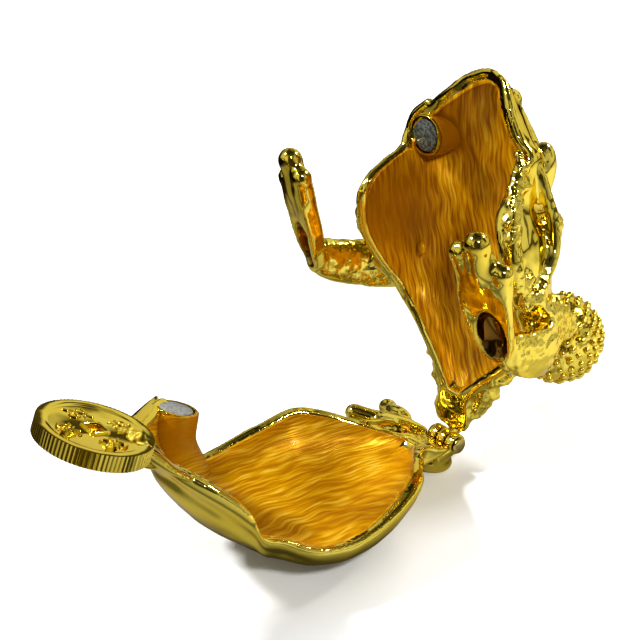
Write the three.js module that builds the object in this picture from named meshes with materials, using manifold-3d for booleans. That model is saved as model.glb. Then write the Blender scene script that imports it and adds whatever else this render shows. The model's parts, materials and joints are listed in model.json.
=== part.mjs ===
import * as THREE from 'three';
import { mergeVertices } from 'three/addons/utils/BufferGeometryUtils.js';
import Module from 'manifold-3d';

const wasm = await Module();
wasm.setup();

// Driving dimensions, in millimetres and degrees.
const bodyLength = 60;           // hinge axis to the tip of the snout
const castWall = 1.6;            // thickness of both castings
const lipGap = 0.5;              // between the two rims when the lid is shut
const sitPitch = 18.9;           // how far the body's front is raised
const lidOpening = 73.6;         // from shut to open, as modelled
const hingeHeight = 4.2;         // hinge axis above the surface it stands on
const bellySpot = 26;            // hinge axis to the middle of the flat under the belly
const coinRadius = 7.9;
const coinThickness = 2.3;
const coinRimWidth = 0.7;
const coinRimHeight = 0.4;
const coinRoll = 4.5;            // the coin leans a little to one side
const coinHoleHalf = 1.1;
const magnetRadius = 2.45;
const magnetThickness = 1.5;
const magnetClearance = 0.3;     // round and behind each magnet
const socketWall = 0.4;
const postGap = 0.3;             // round the magnet post when the lid is shut
const pinRadius = 0.6;
const pinClearance = 0.3;
const knuckleWall = 0.75;
const knuckleLength = 1.5;
const knuckleGap = 0.3;
const pinHeadLength = 0.35;
const footClearance = 0.8;       // middle of the front soles above the floor when the lid is shut
const toeRadius = 1.55;
const wartRadius = 0.72;

// Colours of the finishes.
const gold = { color: 0xd9b233, roughness: 0.14, metalness: 1 };
const steel = { color: 0x8d8a86, roughness: 0.32, metalness: 1 };
const ferrite = { color: 0x6d6c72, roughness: 0.6, metalness: 0.4 };

// Free forms are laid out in sixtieths of the body's length: x towards the toad's left,
// forward from the hinge axis to the snout, and up.
const unit = bodyLength / 60;
const rad = THREE.MathUtils.degToRad;
const spot = (x, forward, up) => new THREE.Vector3(x * unit, -forward * unit, up * unit);

/** Turns closed geometry into a solid that can be joined and cut. */
function solid(geometry) {
  const bare = geometry.clone();
  bare.deleteAttribute('normal');
  bare.deleteAttribute('uv');
  const merged = mergeVertices(bare, 1e-4);
  return new wasm.Manifold(new wasm.Mesh({
    numProp: 3,
    vertProperties: Float32Array.from(merged.attributes.position.array),
    triVerts: Uint32Array.from(merged.index.array),
  }));
}

/** Joins a list of solids. */
const joined = (solids) => solids.reduce((sum, next) => sum.add(next));

/** Closed body through rings of equally many points, closed to a point at each end. */
function loft(rings, start, end) {
  const sides = rings[0].length;
  const points = [start, ...rings.flat(), end];
  const last = points.length - 1;
  const at = (ring, side) => 1 + ring * sides + (side % sides);
  const faces = [];
  for (let side = 0; side < sides; side += 1) {
    faces.push(0, at(0, side + 1), at(0, side));
    for (let ring = 0; ring + 1 < rings.length; ring += 1) {
      faces.push(at(ring, side), at(ring, side + 1), at(ring + 1, side));
      faces.push(at(ring, side + 1), at(ring + 1, side + 1), at(ring + 1, side));
    }
    faces.push(at(rings.length - 1, side), at(rings.length - 1, side + 1), last);
  }
  let volume = 0;
  for (let i = 0; i < faces.length; i += 3) {
    const [a, b, c] = [points[faces[i]], points[faces[i + 1]], points[faces[i + 2]]];
    volume += a.dot(b.clone().cross(c));
  }
  if (volume < 0) faces.reverse();
  const geometry = new THREE.BufferGeometry().setFromPoints(points);
  geometry.setIndex(faces);
  return geometry;
}

/** Ellipsoid with its middle, its half-sizes and its turn about the three axes. */
function ellipsoid(middle, half, turn = [0, 0, 0], detail = 10) {
  const geometry = new THREE.SphereGeometry(unit, detail, Math.round(detail * 0.6));
  geometry.rotateX(Math.PI / 2);
  geometry.scale(half[0], half[1], half[2]);
  geometry.applyMatrix4(new THREE.Matrix4().makeRotationFromEuler(new THREE.Euler(...turn.map(rad))));
  geometry.translate(middle.x, middle.y, middle.z);
  return solid(geometry);
}

/** Small ball of few faces. */
function ball(middle, radius, Form = THREE.IcosahedronGeometry) {
  const geometry = new Form(radius, 0);
  geometry.translate(middle.x, middle.y, middle.z);
  return solid(geometry);
}

/** Round bar between two heights, along the x axis or the z axis. */
function bar(middle, radius, length, axis, sides = 24) {
  const geometry = new THREE.CylinderGeometry(radius, radius, length, sides);
  if (axis === 'x') geometry.rotateZ(Math.PI / 2);
  if (axis === 'z') geometry.rotateX(Math.PI / 2);
  geometry.translate(middle.x, middle.y, middle.z);
  return solid(geometry);
}

/** Limb along a curve; each section is [half-width across, half-depth], both free to change. */
function limb(points, sections, { sides = 10, steps = 8, across = new THREE.Vector3(1, 0, 0) } = {}) {
  const curve = new THREE.CatmullRomCurve3(points);
  const widths = new THREE.SplineCurve(sections.map(([wide, deep]) => new THREE.Vector2(wide, deep)));
  const rings = [];
  for (let step = 0; step <= steps; step += 1) {
    const t = step / steps;
    const along = curve.getTangent(t);
    const side = across.clone().addScaledVector(along, -across.dot(along)).normalize();
    const other = along.clone().cross(side);
    const middle = curve.getPoint(t);
    const size = widths.getPoint(t).multiplyScalar(unit);
    rings.push(Array.from({ length: sides }, (_, k) => {
      const angle = (k / sides) * Math.PI * 2;
      return middle.clone()
        .addScaledVector(side, Math.cos(angle) * size.x)
        .addScaledVector(other, Math.sin(angle) * size.y);
    }));
  }
  return solid(loft(rings, curve.getPoint(0), curve.getPoint(1)));
}

/** Smooth value between stations [forward, value]. */
function between(stations, forward) {
  const first = stations[0];
  const last = stations[stations.length - 1];
  if (forward <= first[0]) return first[1];
  if (forward >= last[0]) return last[1];
  const i = stations.findIndex(([place]) => place > forward) - 1;
  const slope = (k) => {
    const a = stations[Math.max(k - 1, 0)];
    const b = stations[Math.min(k + 1, stations.length - 1)];
    return (b[1] - a[1]) / (b[0] - a[0]);
  };
  const [x0, y0] = stations[i];
  const [x1, y1] = stations[i + 1];
  const width = x1 - x0;
  const t = (forward - x0) / width;
  return (2 * t ** 3 - 3 * t ** 2 + 1) * y0 + (t ** 3 - 2 * t ** 2 + t) * width * slope(i)
    + (3 * t ** 2 - 2 * t ** 3) * y1 + (t ** 3 - t ** 2) * width * slope(i + 1);
}

// The parting line from the tail to the mouth's corners, which both castings share.
const tailLine = [[3.2, 2.4, 0], [3.3, 8, 0.2], [8.6, 14, 0.8], [14.2, 20, 0.3],
  [16, 26, -3.4], [16.3, 32, -6.5], [15.4, 38, -7.8]];

// The lower lip runs on from there: low and wide on the left, over the magnet post on the right.
const lowerLipLeft = [[13.1, 43, -7.1], [12.5, 46.5, -6.6], [12.4, 49.6, -3.2], [10.8, 53, -1],
  [8.7, 56, 0.2], [4.6, 58.8, 0.9]];
const lowerLipRight = [[15.4, 40.3, -6.3], [15.4, 42, -3.2], [15.4, 43.5, 0.3], [15.2, 45.6, 2.2],
  [14.6, 48, 2.3], [12.3, 51.2, 2.1], [9.4, 54.6, 1.8], [6, 57.5, 1.4]];
const lowerLipFront = [0, 60, 1.2];

// The upper lip is narrower, and comes to a point at the snout.
const upperLipLeft = [[13.1, 43, -6.8], [11.9, 47.2, -2.4], [10.9, 49.8, 0.6], [8.7, 51.8, 0.4],
  [7.2, 54.2, 0.3], [5.8, 56.6, 0.7], [3.4, 58.8, 1.9]];
const upperLipRight = [[15.4, 40.3, -6.3], [15.4, 42, -3.2], [15.4, 43.5, 0.3], [15.2, 45.6, 2.2],
  [14.4, 48, 2.4], [11.4, 51.2, 2.3], [8.2, 54.2, 2.1], [4.4, 57.5, 2.5]];
const upperLipFront = [0, 59.6, 2.6];

const rimSteps = 48;

/** Closed outline through the tail line and a pair of lips, lifted by a height. */
function rimOutline(left, front, right, lift) {
  const sideOf = (stations, sign) => stations.map(([x, forward, up]) => spot(sign * x, forward, up));
  const around = [...sideOf([...tailLine, ...left], 1), spot(...front),
    ...sideOf([...tailLine, ...right], -1).reverse()];
  const curve = new THREE.CatmullRomCurve3(around, true, 'centripetal');
  const points = curve.getSpacedPoints(rimSteps).slice(0, -1);
  points.forEach((point) => point.setZ(point.z + lift));
  return points;
}

// Where the hollows end, short of the hinge.
const neckEnd = -9 * unit;

/** The outline drawn in by the casting's wall, and ended short of the narrow neck at the hinge. */
function drawnIn(outline, distance) {
  const count = outline.length;
  const back = Math.max(...outline.map((point) => point.y));
  const area = outline.reduce((sum, point, k) => {
    const next = outline[(k + 1) % count];
    return sum + point.x * next.y - next.x * point.y;
  }, 0);
  return outline.map((point, k) => {
    const before = outline[(k + count - 1) % count];
    const after = outline[(k + 1) % count];
    const inward = new THREE.Vector3(before.y - after.y, after.x - before.x, 0).normalize();
    const inner = point.clone().addScaledVector(inward, Math.sign(area) * distance);
    const beyond = Math.max(inner.y - neckEnd, 0) / (back - neckEnd);
    if (beyond > 0) inner.set(inner.x * (1 - beyond / 2), neckEnd + beyond * unit, inner.z);
    return inner;
  });
}

const bowlMiddle = spot(0, 31, -3);
const bowlFullness = 2.2;
const bowlRings = 4;

/** Bowl or dome from a rim outline to the heights along its spine; `mouth` is where it is closed. */
function bowl(outline, spineHeight, mouth) {
  const rings = [];
  for (let ring = 0; ring <= bowlRings; ring += 1) {
    const share = Math.cos((ring / bowlRings) * rad(85));
    const drop = (1 - share ** bowlFullness) ** (1 / bowlFullness);
    rings.push(outline.map((rim) => {
      const x = bowlMiddle.x + (rim.x - bowlMiddle.x) * share;
      const y = bowlMiddle.y + (rim.y - bowlMiddle.y) * share;
      const z = THREE.MathUtils.lerp(rim.z, spineHeight(-y / unit), drop);
      return new THREE.Vector3(x, y, z);
    }));
  }
  if (mouth.lift) rings.unshift(outline.map((rim) => rim.clone().setZ(mouth.lift)));
  const pole = new THREE.Vector3(bowlMiddle.x, bowlMiddle.y, spineHeight(-bowlMiddle.y / unit));
  return solid(loft(rings, new THREE.Vector3(bowlMiddle.x, bowlMiddle.y, mouth.height), pole));
}

/** Hollow casting: a bowl or dome with a cavity that leaves the wall. */
function shell(outline, spine, upwards) {
  const way = upwards ? 1 : -1;
  const outer = bowl(outline, (forward) => between(spine, forward) * unit, { height: bowlMiddle.z });
  const open = -way * 14 * unit;
  const cavity = bowl(
    drawnIn(outline, castWall),
    (forward) => between(spine, forward) * unit - way * castWall,
    { height: open, lift: open },
  );
  return { outer, cavity };
}

// Where the two magnets meet, at the right corner of the mouth.
const magnetSpot = spot(-11.5, 45.9, 0);
const magnetFace = 2.1 * unit;
const pocketRadius = magnetRadius + magnetClearance;
const pocketDepth = magnetThickness + magnetClearance;

// The hinge: two knuckles on the base, one on the lid between them, and a pin through all.
const knuckleBore = pinRadius + pinClearance;
const knuckleRadius = knuckleBore + knuckleWall;
const knucklePitch = knuckleLength + knuckleGap;
const hingeHalf = knucklePitch + knuckleLength / 2;
const floorInBody = (forward) => (
  -(hingeHeight + forward * Math.sin(rad(sitPitch))) / Math.cos(rad(sitPitch)));

/** Cuts a solid off flat at the surface the toad sits on. */
function cutAtFloor(body) {
  const block = new THREE.BoxGeometry(bodyLength * 3, bodyLength * 3, bodyLength);
  block.translate(0, 0, -bodyLength / 2 - hingeHeight);
  block.rotateX(rad(sitPitch));
  return body.subtract(solid(block));
}

/** Foot with a palm and ball-tipped toes; `pose` carries it from lying along -y to its place. */
function foot(toes, length, sideways, pose, hollow) {
  const thick = toeRadius / unit;
  const place = (x, forward, up = thick) => spot(sideways * x, forward, up).applyMatrix4(pose);
  const across = new THREE.Vector3(1, 0, 0).transformDirection(pose);
  const stations = length > 12 ? 4 : 3;
  const palm = limb(
    [place(0, -1.2), place(0, 2), place(-0.3, 6.5), place(-0.5, length * 0.53)].slice(0, stations),
    [[1.2, 0.9], [2.6, thick], [3.3, thick], [3.3, thick * 0.9]].slice(0, stations),
    { sides: 8, steps: 4, across },
  );
  const digits = toes.map(([root, start, tip, reach, size]) => {
    const bulb = thick * size;
    const end = THREE.MathUtils.lerp(root, tip, 1 + bulb / (reach - start));
    const knuckleSpot = place((root + end) / 2, (start + reach + bulb) / 2);
    return limb(
      [place(root, start), knuckleSpot, place(end, reach + bulb)],
      [[1.3, thick * 0.9], [1.1, thick * 0.8], [1, thick * 0.7], [bulb, bulb], [bulb * 0.45, bulb * 0.45]],
      { sides: 5, steps: 5, across },
    );
  });
  const whole = joined([palm, ...digits]);
  if (!hollow) return whole;
  const euler = new THREE.Euler().setFromRotationMatrix(pose);
  const turn = [euler.x, euler.y, euler.z].map(THREE.MathUtils.radToDeg);
  return whole.subtract(ellipsoid(place(0, 4.2, 0), [1.7, 3.7, 1.5], turn, 8));
}

/** The coin held in front of the lips, leaning a little, with a raised rim and a square hole. */
function coin() {
  const radius = coinRadius;
  const faceHeight = coinThickness - coinRimHeight;
  const profile = [[0, 0], [radius, 0], [radius, coinThickness], [radius - coinRimWidth, coinThickness],
    [radius - coinRimWidth - coinRimHeight, faceHeight], [0, faceHeight]];
  const disc = new THREE.LatheGeometry(profile.map(([r, z]) => new THREE.Vector2(r, z)), 36);
  disc.rotateX(Math.PI / 2);
  const hole = new THREE.BoxGeometry(coinHoleHalf * 2, coinHoleHalf * 2, coinRimHeight * 4);
  hole.translate(0, 0, coinThickness);
  const pose = new THREE.Matrix4().makeRotationY(rad(coinRoll));
  const tongue = spot(0, 61.1, 2.9);
  pose.setPosition(tongue.x, tongue.y - coinRadius, tongue.z);
  [disc, hole].forEach((piece) => piece.applyMatrix4(pose));
  return solid(disc).subtract(solid(hole));
}

/** Knuckle of the hinge at a place along the axis. */
const knuckle = (place) => bar(new THREE.Vector3(place, 0, 0), knuckleRadius, knuckleLength, 'x', 16);
const pinBore = () => bar(new THREE.Vector3(), knuckleBore, hingeHalf * 3, 'x', 16);

/** The belly with its lower jaw, coin, magnet post, hind foot and tail. */
function baseCasting() {
  const spine = [[0, -2.5], [8, -5.5], [16, -10.5], [20, -12.5], [24, -13.7], [28, -14.2],
    [34, -14], [42, -13.3], [50, -11], [56, -7], [60, -3]];
  const outline = rimOutline(lowerLipLeft, lowerLipFront, lowerLipRight, 0);
  const { outer, cavity } = shell(outline, spine, false);
  const postRadius = (pocketRadius + socketWall) / unit;
  const post = limb(
    [magnetSpot.clone().setZ(magnetFace), spot(-10.9, 45.5, -3), spot(-8.6, 43, -8)],
    [1, 0.95, 0.9].map((share) => [postRadius * share, postRadius * share]),
    { sides: 16, steps: 3 },
  );
  const lipTongue = ellipsoid(spot(0, 60.6, 1.4), [5, 2.3, 1.7], [8, 0, 0], 8);
  const toes = [[-1.6, 3.2, -7.7, 4.8, 0.9], [0, 4, -1, 9.4, 0.95], [1.7, 4.2, 4.8, 8.2, 0.9]];
  const hindPose = new THREE.Matrix4().makeRotationZ(rad(-45)).setPosition(spot(-4, 2.2, -1.9));
  const hindFoot = foot(toes, 7, 1, hindPose, false);
  const haunch = ellipsoid(spot(-6.2, 9, -2.7), [3, 6.4, 2.5], [0, 0, -42], 8);
  const tail = ellipsoid(spot(-0.5, 1.3, -3.7), [3, 3.5, 2], [0, 0, 0], 8);
  const rear = ellipsoid(spot(-1, 12.4, -5.1), [5.8, 6.6, 4.5], [0, 0, 0], 8);
  const knuckles = [-1, 1].map((sign) => joined([
    knuckle(sign * knucklePitch),
    limb(
      [new THREE.Vector3(0, 0, -knuckleRadius * 0.4), spot(0, 3.4, -2.8)]
        .map((point) => point.setX(sign * knucklePitch)),
      [[knuckleLength / 2 / unit, 1.1], [knuckleLength / 2 / unit, 1.4]],
      { sides: 12, steps: 2 },
    ),
  ]));
  const roomLength = knuckleLength + 2 * knuckleGap;
  const lidRoom = bar(new THREE.Vector3(), knuckleRadius + knuckleGap, roomLength, 'x', 16);
  const body = joined([outer.add(rear).subtract(cavity), post, lipTongue, coin(), hindFoot, haunch, tail])
    .subtract(lidRoom)
    .add(joined(knuckles))
    .subtract(lidRoom)
    .subtract(pinBore())
    .subtract(bar(magnetSpot.clone().setZ(magnetFace), pocketRadius, pocketDepth * 2, 'z', 24));
  return cutAtFloor(body);
}

/** Ball warts spread evenly over the outer part of a round hump. */
function warts(middle, radius, outward, count) {
  const golden = Math.PI * (3 - Math.sqrt(5));
  const balls = [];
  for (let k = 0; k < count; k += 1) {
    const z = 1 - (2 * (k + 0.5)) / count;
    const ring = Math.sqrt(1 - z * z);
    const way = new THREE.Vector3(ring * Math.cos(k * golden), ring * Math.sin(k * golden), z);
    if (way.dot(outward) < 0.3) continue;
    balls.push(ball(middle.clone().addScaledVector(way, radius), wartRadius, THREE.OctahedronGeometry));
  }
  return joined(balls);
}

// Front heels, from the hinge axis and from the middle; the soles turn a little outwards.
const footHeel = 26.2;
const footOut = 19.6;
const footRoll = 16;

/** Front leg on one side: upper arm, forearm and a long foot with three ball-tipped toes. */
function frontLeg(sign) {
  const fromHeel = (out, ahead, up) => spot(sign * (footOut + out), footHeel + ahead, up);
  const arm = limb(
    [spot(sign * 12.5, 25, 7), fromHeel(-3.6, -2.8, 2.2), fromHeel(-0.9, -2.2, -3),
      fromHeel(0.1, -0.8, -7.6), fromHeel(0.6, 0.8, -10.6)],
    [[2.4, 3.6], [2.6, 4], [2, 3.7], [2, 3.3], [2, 2.6]],
    { sides: 8, steps: 5 },
  );
  const toes = [[-1.7, 8, -2.8, 16.2, 0.85], [-0.3, 8, -0.4, 18.6, 1.05], [1.6, 7, 3.6, 14.2, 0.95]];
  const heelUp = floorInBody(footHeel * unit) + footClearance / Math.cos(rad(sitPitch));
  const pose = new THREE.Matrix4().makeRotationX(rad(sitPitch))
    .multiply(new THREE.Matrix4().makeRotationY(rad(-sign * footRoll)))
    .setPosition(spot(sign * footOut, footHeel, heelUp / unit));
  return joined([arm, foot(toes, 19.4, sign, pose, true)]);
}

/** The back with its head, front legs and beaded haunches. */
function lidCasting() {
  const spine = [[0, 2.6], [6, 5.4], [14, 9.4], [22, 11.2], [32, 11.6], [40, 11],
    [47, 10.4], [53, 9.2], [57, 7.5], [60, 5]];
  const outline = rimOutline(upperLipLeft, upperLipFront, upperLipRight, lipGap);
  const { outer, cavity } = shell(outline, spine, true);
  const pair = (make) => joined([make(1), make(-1)]);
  const eyes = pair((sign) => (
    ellipsoid(spot(sign * 8.2, 44.2, 5.6), [2.6, 6.3, 2.8], [-8, 0, sign * 8])));
  const brows = pair((sign) => limb(
    [[2.8, 55, 5.4], [5, 50.5, 6.6], [7, 44, 8.3], [7.6, 38, 8.6]]
      .map(([x, forward, up]) => spot(sign * x, forward, up)),
    [[0.9, 0.9], [1.1, 1.1], [1.2, 1.1], [0.8, 0.8]],
    { sides: 6, steps: 5 },
  ));
  const nostrils = pair((sign) => (
    ellipsoid(spot(sign * 3.7, 55.2, 4.6), [1.4, 1.9, 1.4], [0, 0, 0], 8)));
  const curls = pair((sign) => (
    ellipsoid(spot(sign * 9.8, 36.4, 7.5), [2.3, 3.8, 2.2], [-8, 0, sign * 15], 8)));
  const humpRadius = 6.7;
  const humps = pair((sign) => {
    const middle = spot(sign * 8.8, 17.1, 13.6);
    const outward = new THREE.Vector3(sign * 0.75, 0.15, 0.64);
    return joined([
      ellipsoid(middle, [humpRadius, humpRadius, humpRadius], [0, 0, 0], 11),
      warts(middle, humpRadius * unit, outward, 34),
    ]);
  });
  const folds = pair((sign) => joined([0, 1, 2].map((k) => limb(
    [spot(sign * (3 + k * 1.7), 4.6 + k * 3.6, 1.6), spot(sign * (4 + k * 1.7), 5.8 + k * 3.2, 3 + k * 0.5),
      spot(sign * (2.6 + k * 1.4), 7.4 + k * 2.7, 4.4 + k * 0.9)],
    [[0.8, 0.8], [1.1, 1], [0.7, 0.7]], { sides: 6, steps: 3 },
  ))));
  const rump = pair((sign) => (
    ellipsoid(spot(sign * 4, 9.4, 3.2), [2.4, 5, 2.1], [0, 0, sign * 18], 8)));
  const thighs = pair((sign) => ellipsoid(spot(sign * 7.6, 18.4, 8.6), [5, 6.6, 5.2], [-8, 0, 0], 8));
  const tailKnob = ball(spot(-3.4, 4, 2.6), 1.8 * unit);
  const bossTop = 9;
  const bossMiddle = magnetSpot.clone().setZ(magnetFace + lipGap + bossTop / 2 * unit);
  const boss = bar(bossMiddle, pocketRadius + socketWall, bossTop * unit, 'z', 24).intersect(outer);
  const arm = limb(
    [new THREE.Vector3(0, 0, knuckleRadius * 0.3), spot(0, 1.6, 2.6), spot(0, 5.5, 3.4)],
    [[knuckleLength / 2 / unit, 1], [knuckleLength / 2 / unit, 1.2], [2.6, 1.6]],
    { sides: 12, steps: 4 },
  );
  const baseRoom = [-1, 1].map((sign) => bar(new THREE.Vector3(sign * knucklePitch, 0, 0),
    knuckleRadius + knuckleGap, knuckleLength + 2 * knuckleGap, 'x', 16));
  const proud = joined([outer, eyes, brows, nostrils, curls, humps, folds, rump, thighs, tailKnob]);
  const postRoom = bar(magnetSpot.clone().setZ(magnetFace + lipGap - bossTop / 2 * unit),
    pocketRadius + socketWall + postGap, bossTop * unit, 'z', 24);
  return joined([proud.subtract(cavity).subtract(postRoom), boss, frontLeg(1), frontLeg(-1)])
    .subtract(joined(baseRoom))
    .add(arm)
    .add(knuckle(0))
    .subtract(pinBore())
    .subtract(bar(magnetSpot.clone().setZ(magnetFace + lipGap), pocketRadius, pocketDepth * 2, 'z', 24));
}

/** Hinge pin with a low head at each end. */
function hingePin() {
  const half = hingeHalf + knuckleGap;
  const headRadius = knuckleRadius * 0.8;
  const profile = [[0, -half - pinHeadLength], [headRadius, -half - pinHeadLength], [headRadius, -half],
    [pinRadius, -half], [pinRadius, half], [headRadius, half], [headRadius, half + pinHeadLength],
    [0, half + pinHeadLength]];
  const pin = new THREE.LatheGeometry(profile.map(([r, y]) => new THREE.Vector2(r, y)), 12);
  pin.rotateZ(Math.PI / 2);
  return solid(pin);
}

/** Disc magnet lying in its pocket, its face flush with the pocket's mouth. */
const magnet = (face, way) => bar(
  magnetSpot.clone().setZ(face - (way * magnetThickness) / 2), magnetRadius, magnetThickness, 'z', 24,
);

/** Named mesh of a finished solid. */
function piece(name, body, finish) {
  const { vertProperties, triVerts } = body.getMesh();
  const geometry = new THREE.BufferGeometry();
  geometry.setAttribute('position', new THREE.BufferAttribute(vertProperties, 3));
  geometry.setIndex(new THREE.BufferAttribute(triVerts, 1));
  geometry.computeVertexNormals();
  const mesh = new THREE.Mesh(geometry, new THREE.MeshStandardMaterial(finish));
  mesh.name = name;
  return mesh;
}

const base = new THREE.Group();
base.position.set(0, bellySpot * unit, hingeHeight);
base.rotation.x = -rad(sitPitch);
base.add(
  piece('base_casting', baseCasting(), gold),
  piece('hinge_pin', hingePin(), steel),
  piece('base_magnet', magnet(magnetFace, 1), ferrite),
);

const lid = new THREE.Group();
lid.rotation.x = -rad(lidOpening);
lid.add(
  piece('lid_casting', lidCasting(), gold),
  piece('lid_magnet', magnet(magnetFace + lipGap, -1), ferrite),
);
base.add(lid);

const toad = new THREE.Group();
toad.add(base);

export default toad;
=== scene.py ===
"""A gilt trinket box in the form of a three-legged money toad, standing open on a pale floor."""

import json
import logging
import math
from collections.abc import Callable, Iterator, Sequence
from contextlib import contextmanager
from dataclasses import dataclass
from enum import Enum

import bpy
import numpy as np
from mathutils import Matrix, Vector


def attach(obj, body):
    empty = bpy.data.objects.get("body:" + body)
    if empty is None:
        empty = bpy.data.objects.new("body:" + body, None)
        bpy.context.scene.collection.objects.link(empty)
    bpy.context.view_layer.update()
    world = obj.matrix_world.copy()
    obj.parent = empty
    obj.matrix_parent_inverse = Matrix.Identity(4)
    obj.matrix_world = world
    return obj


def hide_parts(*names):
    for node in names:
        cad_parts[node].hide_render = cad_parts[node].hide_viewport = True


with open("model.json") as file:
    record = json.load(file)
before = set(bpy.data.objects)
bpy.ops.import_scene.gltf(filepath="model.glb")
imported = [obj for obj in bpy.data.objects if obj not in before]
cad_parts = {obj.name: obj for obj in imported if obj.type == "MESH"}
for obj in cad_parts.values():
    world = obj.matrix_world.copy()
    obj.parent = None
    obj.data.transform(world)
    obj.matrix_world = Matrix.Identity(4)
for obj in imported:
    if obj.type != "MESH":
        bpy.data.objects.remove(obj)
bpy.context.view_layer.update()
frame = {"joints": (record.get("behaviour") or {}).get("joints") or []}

LOG = logging.getLogger("toad_box")

# Everything is shaped in millimetres, with the hinge axis at the origin, and placed at the end.
MM = 0.001

# Edges that turn by less than this many degrees are shaded smooth.
SMOOTH_UP_TO = 38

# Steps that a vertex group's weights are rounded to.
WEIGHT_STEPS = 20

# How far off a clean surface a cast skin may lie and still be drawn onto it.
SETTLE_REACH = 0.3

Spot = tuple[float, float, float]
Shade = tuple[float, float, float]
Tint = tuple[float, float, float, float]
Piece = bpy.types.Object
Material = bpy.types.Material
Tree = bpy.types.NodeTree
Socket = bpy.types.NodeSocket

# A patch of granular skin: its middle, its half-sizes, and how strongly the grain shows there.
Patch = tuple[Spot, Spot, float]


class Way(Enum):
    """Which way a shell's back lies from its rim."""

    BELOW = -1
    ABOVE = 1


@dataclass(frozen=True)
class Stance:
    """How the box stands: its hinge, the body's pitch, and how far the lid is turned back."""

    pitch: float = 18.9
    opening: float = 73.6

    @property
    def hinge(self) -> Vector:
        """The hinge's place above the floor, in millimetres."""
        return Vector(frame["joints"][0]["pos_m"]) / MM

    def base(self) -> Matrix:
        """Pose of the belly, in metres."""
        turned = Matrix.Rotation(-math.radians(self.pitch), 4, "X")
        return Matrix.Scale(MM, 4) @ Matrix.Translation(self.hinge) @ turned

    def lid(self) -> Matrix:
        """Pose of the open lid, in metres."""
        return self.base() @ Matrix.Rotation(-math.radians(self.opening), 4, "X")

    def floor_under(self, forward: float) -> float:
        """Height of the floor in the belly's own frame, that far forward of the hinge."""
        pitch = math.radians(self.pitch)
        return -(self.hinge.z + forward * math.sin(pitch)) / math.cos(pitch)


STANCE = Stance()


def spot(x: float, forward: float, up: float) -> Vector:
    """A place by its distance to the toad's left, ahead of the hinge, and up."""
    return Vector((x, -forward, up))


def spots(stations: Sequence[Spot], side: int = 1) -> list[Vector]:
    """Several such places, mirrored to the toad's right if the side is -1."""
    return [spot(side * x, forward, up) for x, forward, up in stations]


def mirrored(side: int) -> Matrix:
    """Leaves a piece of the toad's left as it is, for 1, or carries it to the right, for -1."""
    return Matrix.Diagonal((side, 1, 1, 1))


def pick(*pieces: Piece) -> None:
    """Selects these pieces alone and makes the first one active.

    Args:
        pieces: What is selected.
    """
    bpy.ops.object.select_all(action="DESELECT")
    for piece in pieces:
        piece.select_set(True)
    bpy.context.view_layer.objects.active = pieces[0]


@contextmanager
def opened(piece: Piece) -> Iterator[None]:
    """Opens the piece's mesh for editing, all of it selected, and closes it again afterwards.

    Args:
        piece: What is edited.

    Returns:
        Nothing. The mesh stays open while the block runs.
    """
    pick(piece)
    bpy.ops.object.mode_set(mode="EDIT")
    bpy.ops.mesh.select_all(action="SELECT")
    yield
    bpy.ops.object.mode_set(mode="OBJECT")


def added(primitive: Callable[..., object], **settings: object) -> Piece:
    """Adds a primitive while nothing else is selected.

    Args:
        primitive: The operator that adds it.
        settings: The operator's own settings.

    Returns:
        The new piece, selected and active.
    """
    bpy.ops.object.select_all(action="DESELECT")
    primitive(**settings)
    return bpy.context.view_layer.objects.active


def fixed(piece: Piece, pose: Matrix) -> Piece:
    """Moves a piece and works its place into its mesh.

    Args:
        piece: The piece, still where it was added.
        pose: Its place, turn and size.

    Returns:
        The same piece.
    """
    piece.matrix_world = pose
    pick(piece)
    bpy.ops.object.transform_apply(location=True, rotation=True, scale=True)
    return piece


def cylinder(radius: float, length: float, pose: Matrix = Matrix(), sides: int = 48) -> Piece:
    """A plain cylinder round the z axis, carried to its pose."""
    upright = added(bpy.ops.mesh.primitive_cylinder_add, vertices=sides, radius=radius, depth=length)
    return fixed(upright, pose)


def lying(place: float) -> Matrix:
    """Lays an upright rod along the hinge axis, with its middle at this place."""
    return Matrix.Translation((place, 0, 0)) @ Matrix.Rotation(math.pi / 2, 4, "Y")


def corners(piece: Piece) -> np.ndarray:
    """The piece's vertices as rows of x, y, z.

    Args:
        piece: Whose vertices they are.

    Returns:
        One row for each vertex.
    """
    rows = np.empty(len(piece.data.vertices) * 3)
    piece.data.vertices.foreach_get("co", rows)
    return rows.reshape(-1, 3)


def reshape(piece: Piece, rows: np.ndarray) -> None:
    """Moves the piece's vertices to these rows."""
    piece.data.vertices.foreach_set("co", rows.ravel())
    piece.data.update()


def face_out(piece: Piece) -> None:
    """Turns all of the piece's faces outwards."""
    with opened(piece):
        bpy.ops.mesh.normals_make_consistent(inside=False)


def apply(piece: Piece, kind: str, **settings: object) -> None:
    """Adds a modifier and applies it.

    Args:
        piece: What it is added to.
        kind: The modifier's type.
        settings: Its own settings, by name.
    """
    modifier = piece.modifiers.new(kind.title(), kind)
    for name, value in settings.items():
        setattr(modifier, name, value)
    pick(piece)
    bpy.ops.object.modifier_apply(modifier=modifier.name)


def swollen(piece: Piece, size: float, height: float, group: str = "") -> None:
    """Gives a piece low swellings.

    Args:
        piece: The piece.
        size: The swellings' size.
        height: From the lowest to the highest.
        group: The vertex group that they keep to, if any.
    """
    swell = bpy.data.textures.new("swell", "CLOUDS")
    swell.noise_scale, swell.noise_depth = size, 1
    apply(piece, "DISPLACE", texture=swell, texture_coords="LOCAL", strength=height, mid_level=0.5,
          vertex_group=group)


def bevelled(piece: Piece, width: float, segments: int) -> None:
    """Rounds the piece's sharp edges."""
    apply(piece, "BEVEL", width=width, segments=segments, limit_method="ANGLE")


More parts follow.
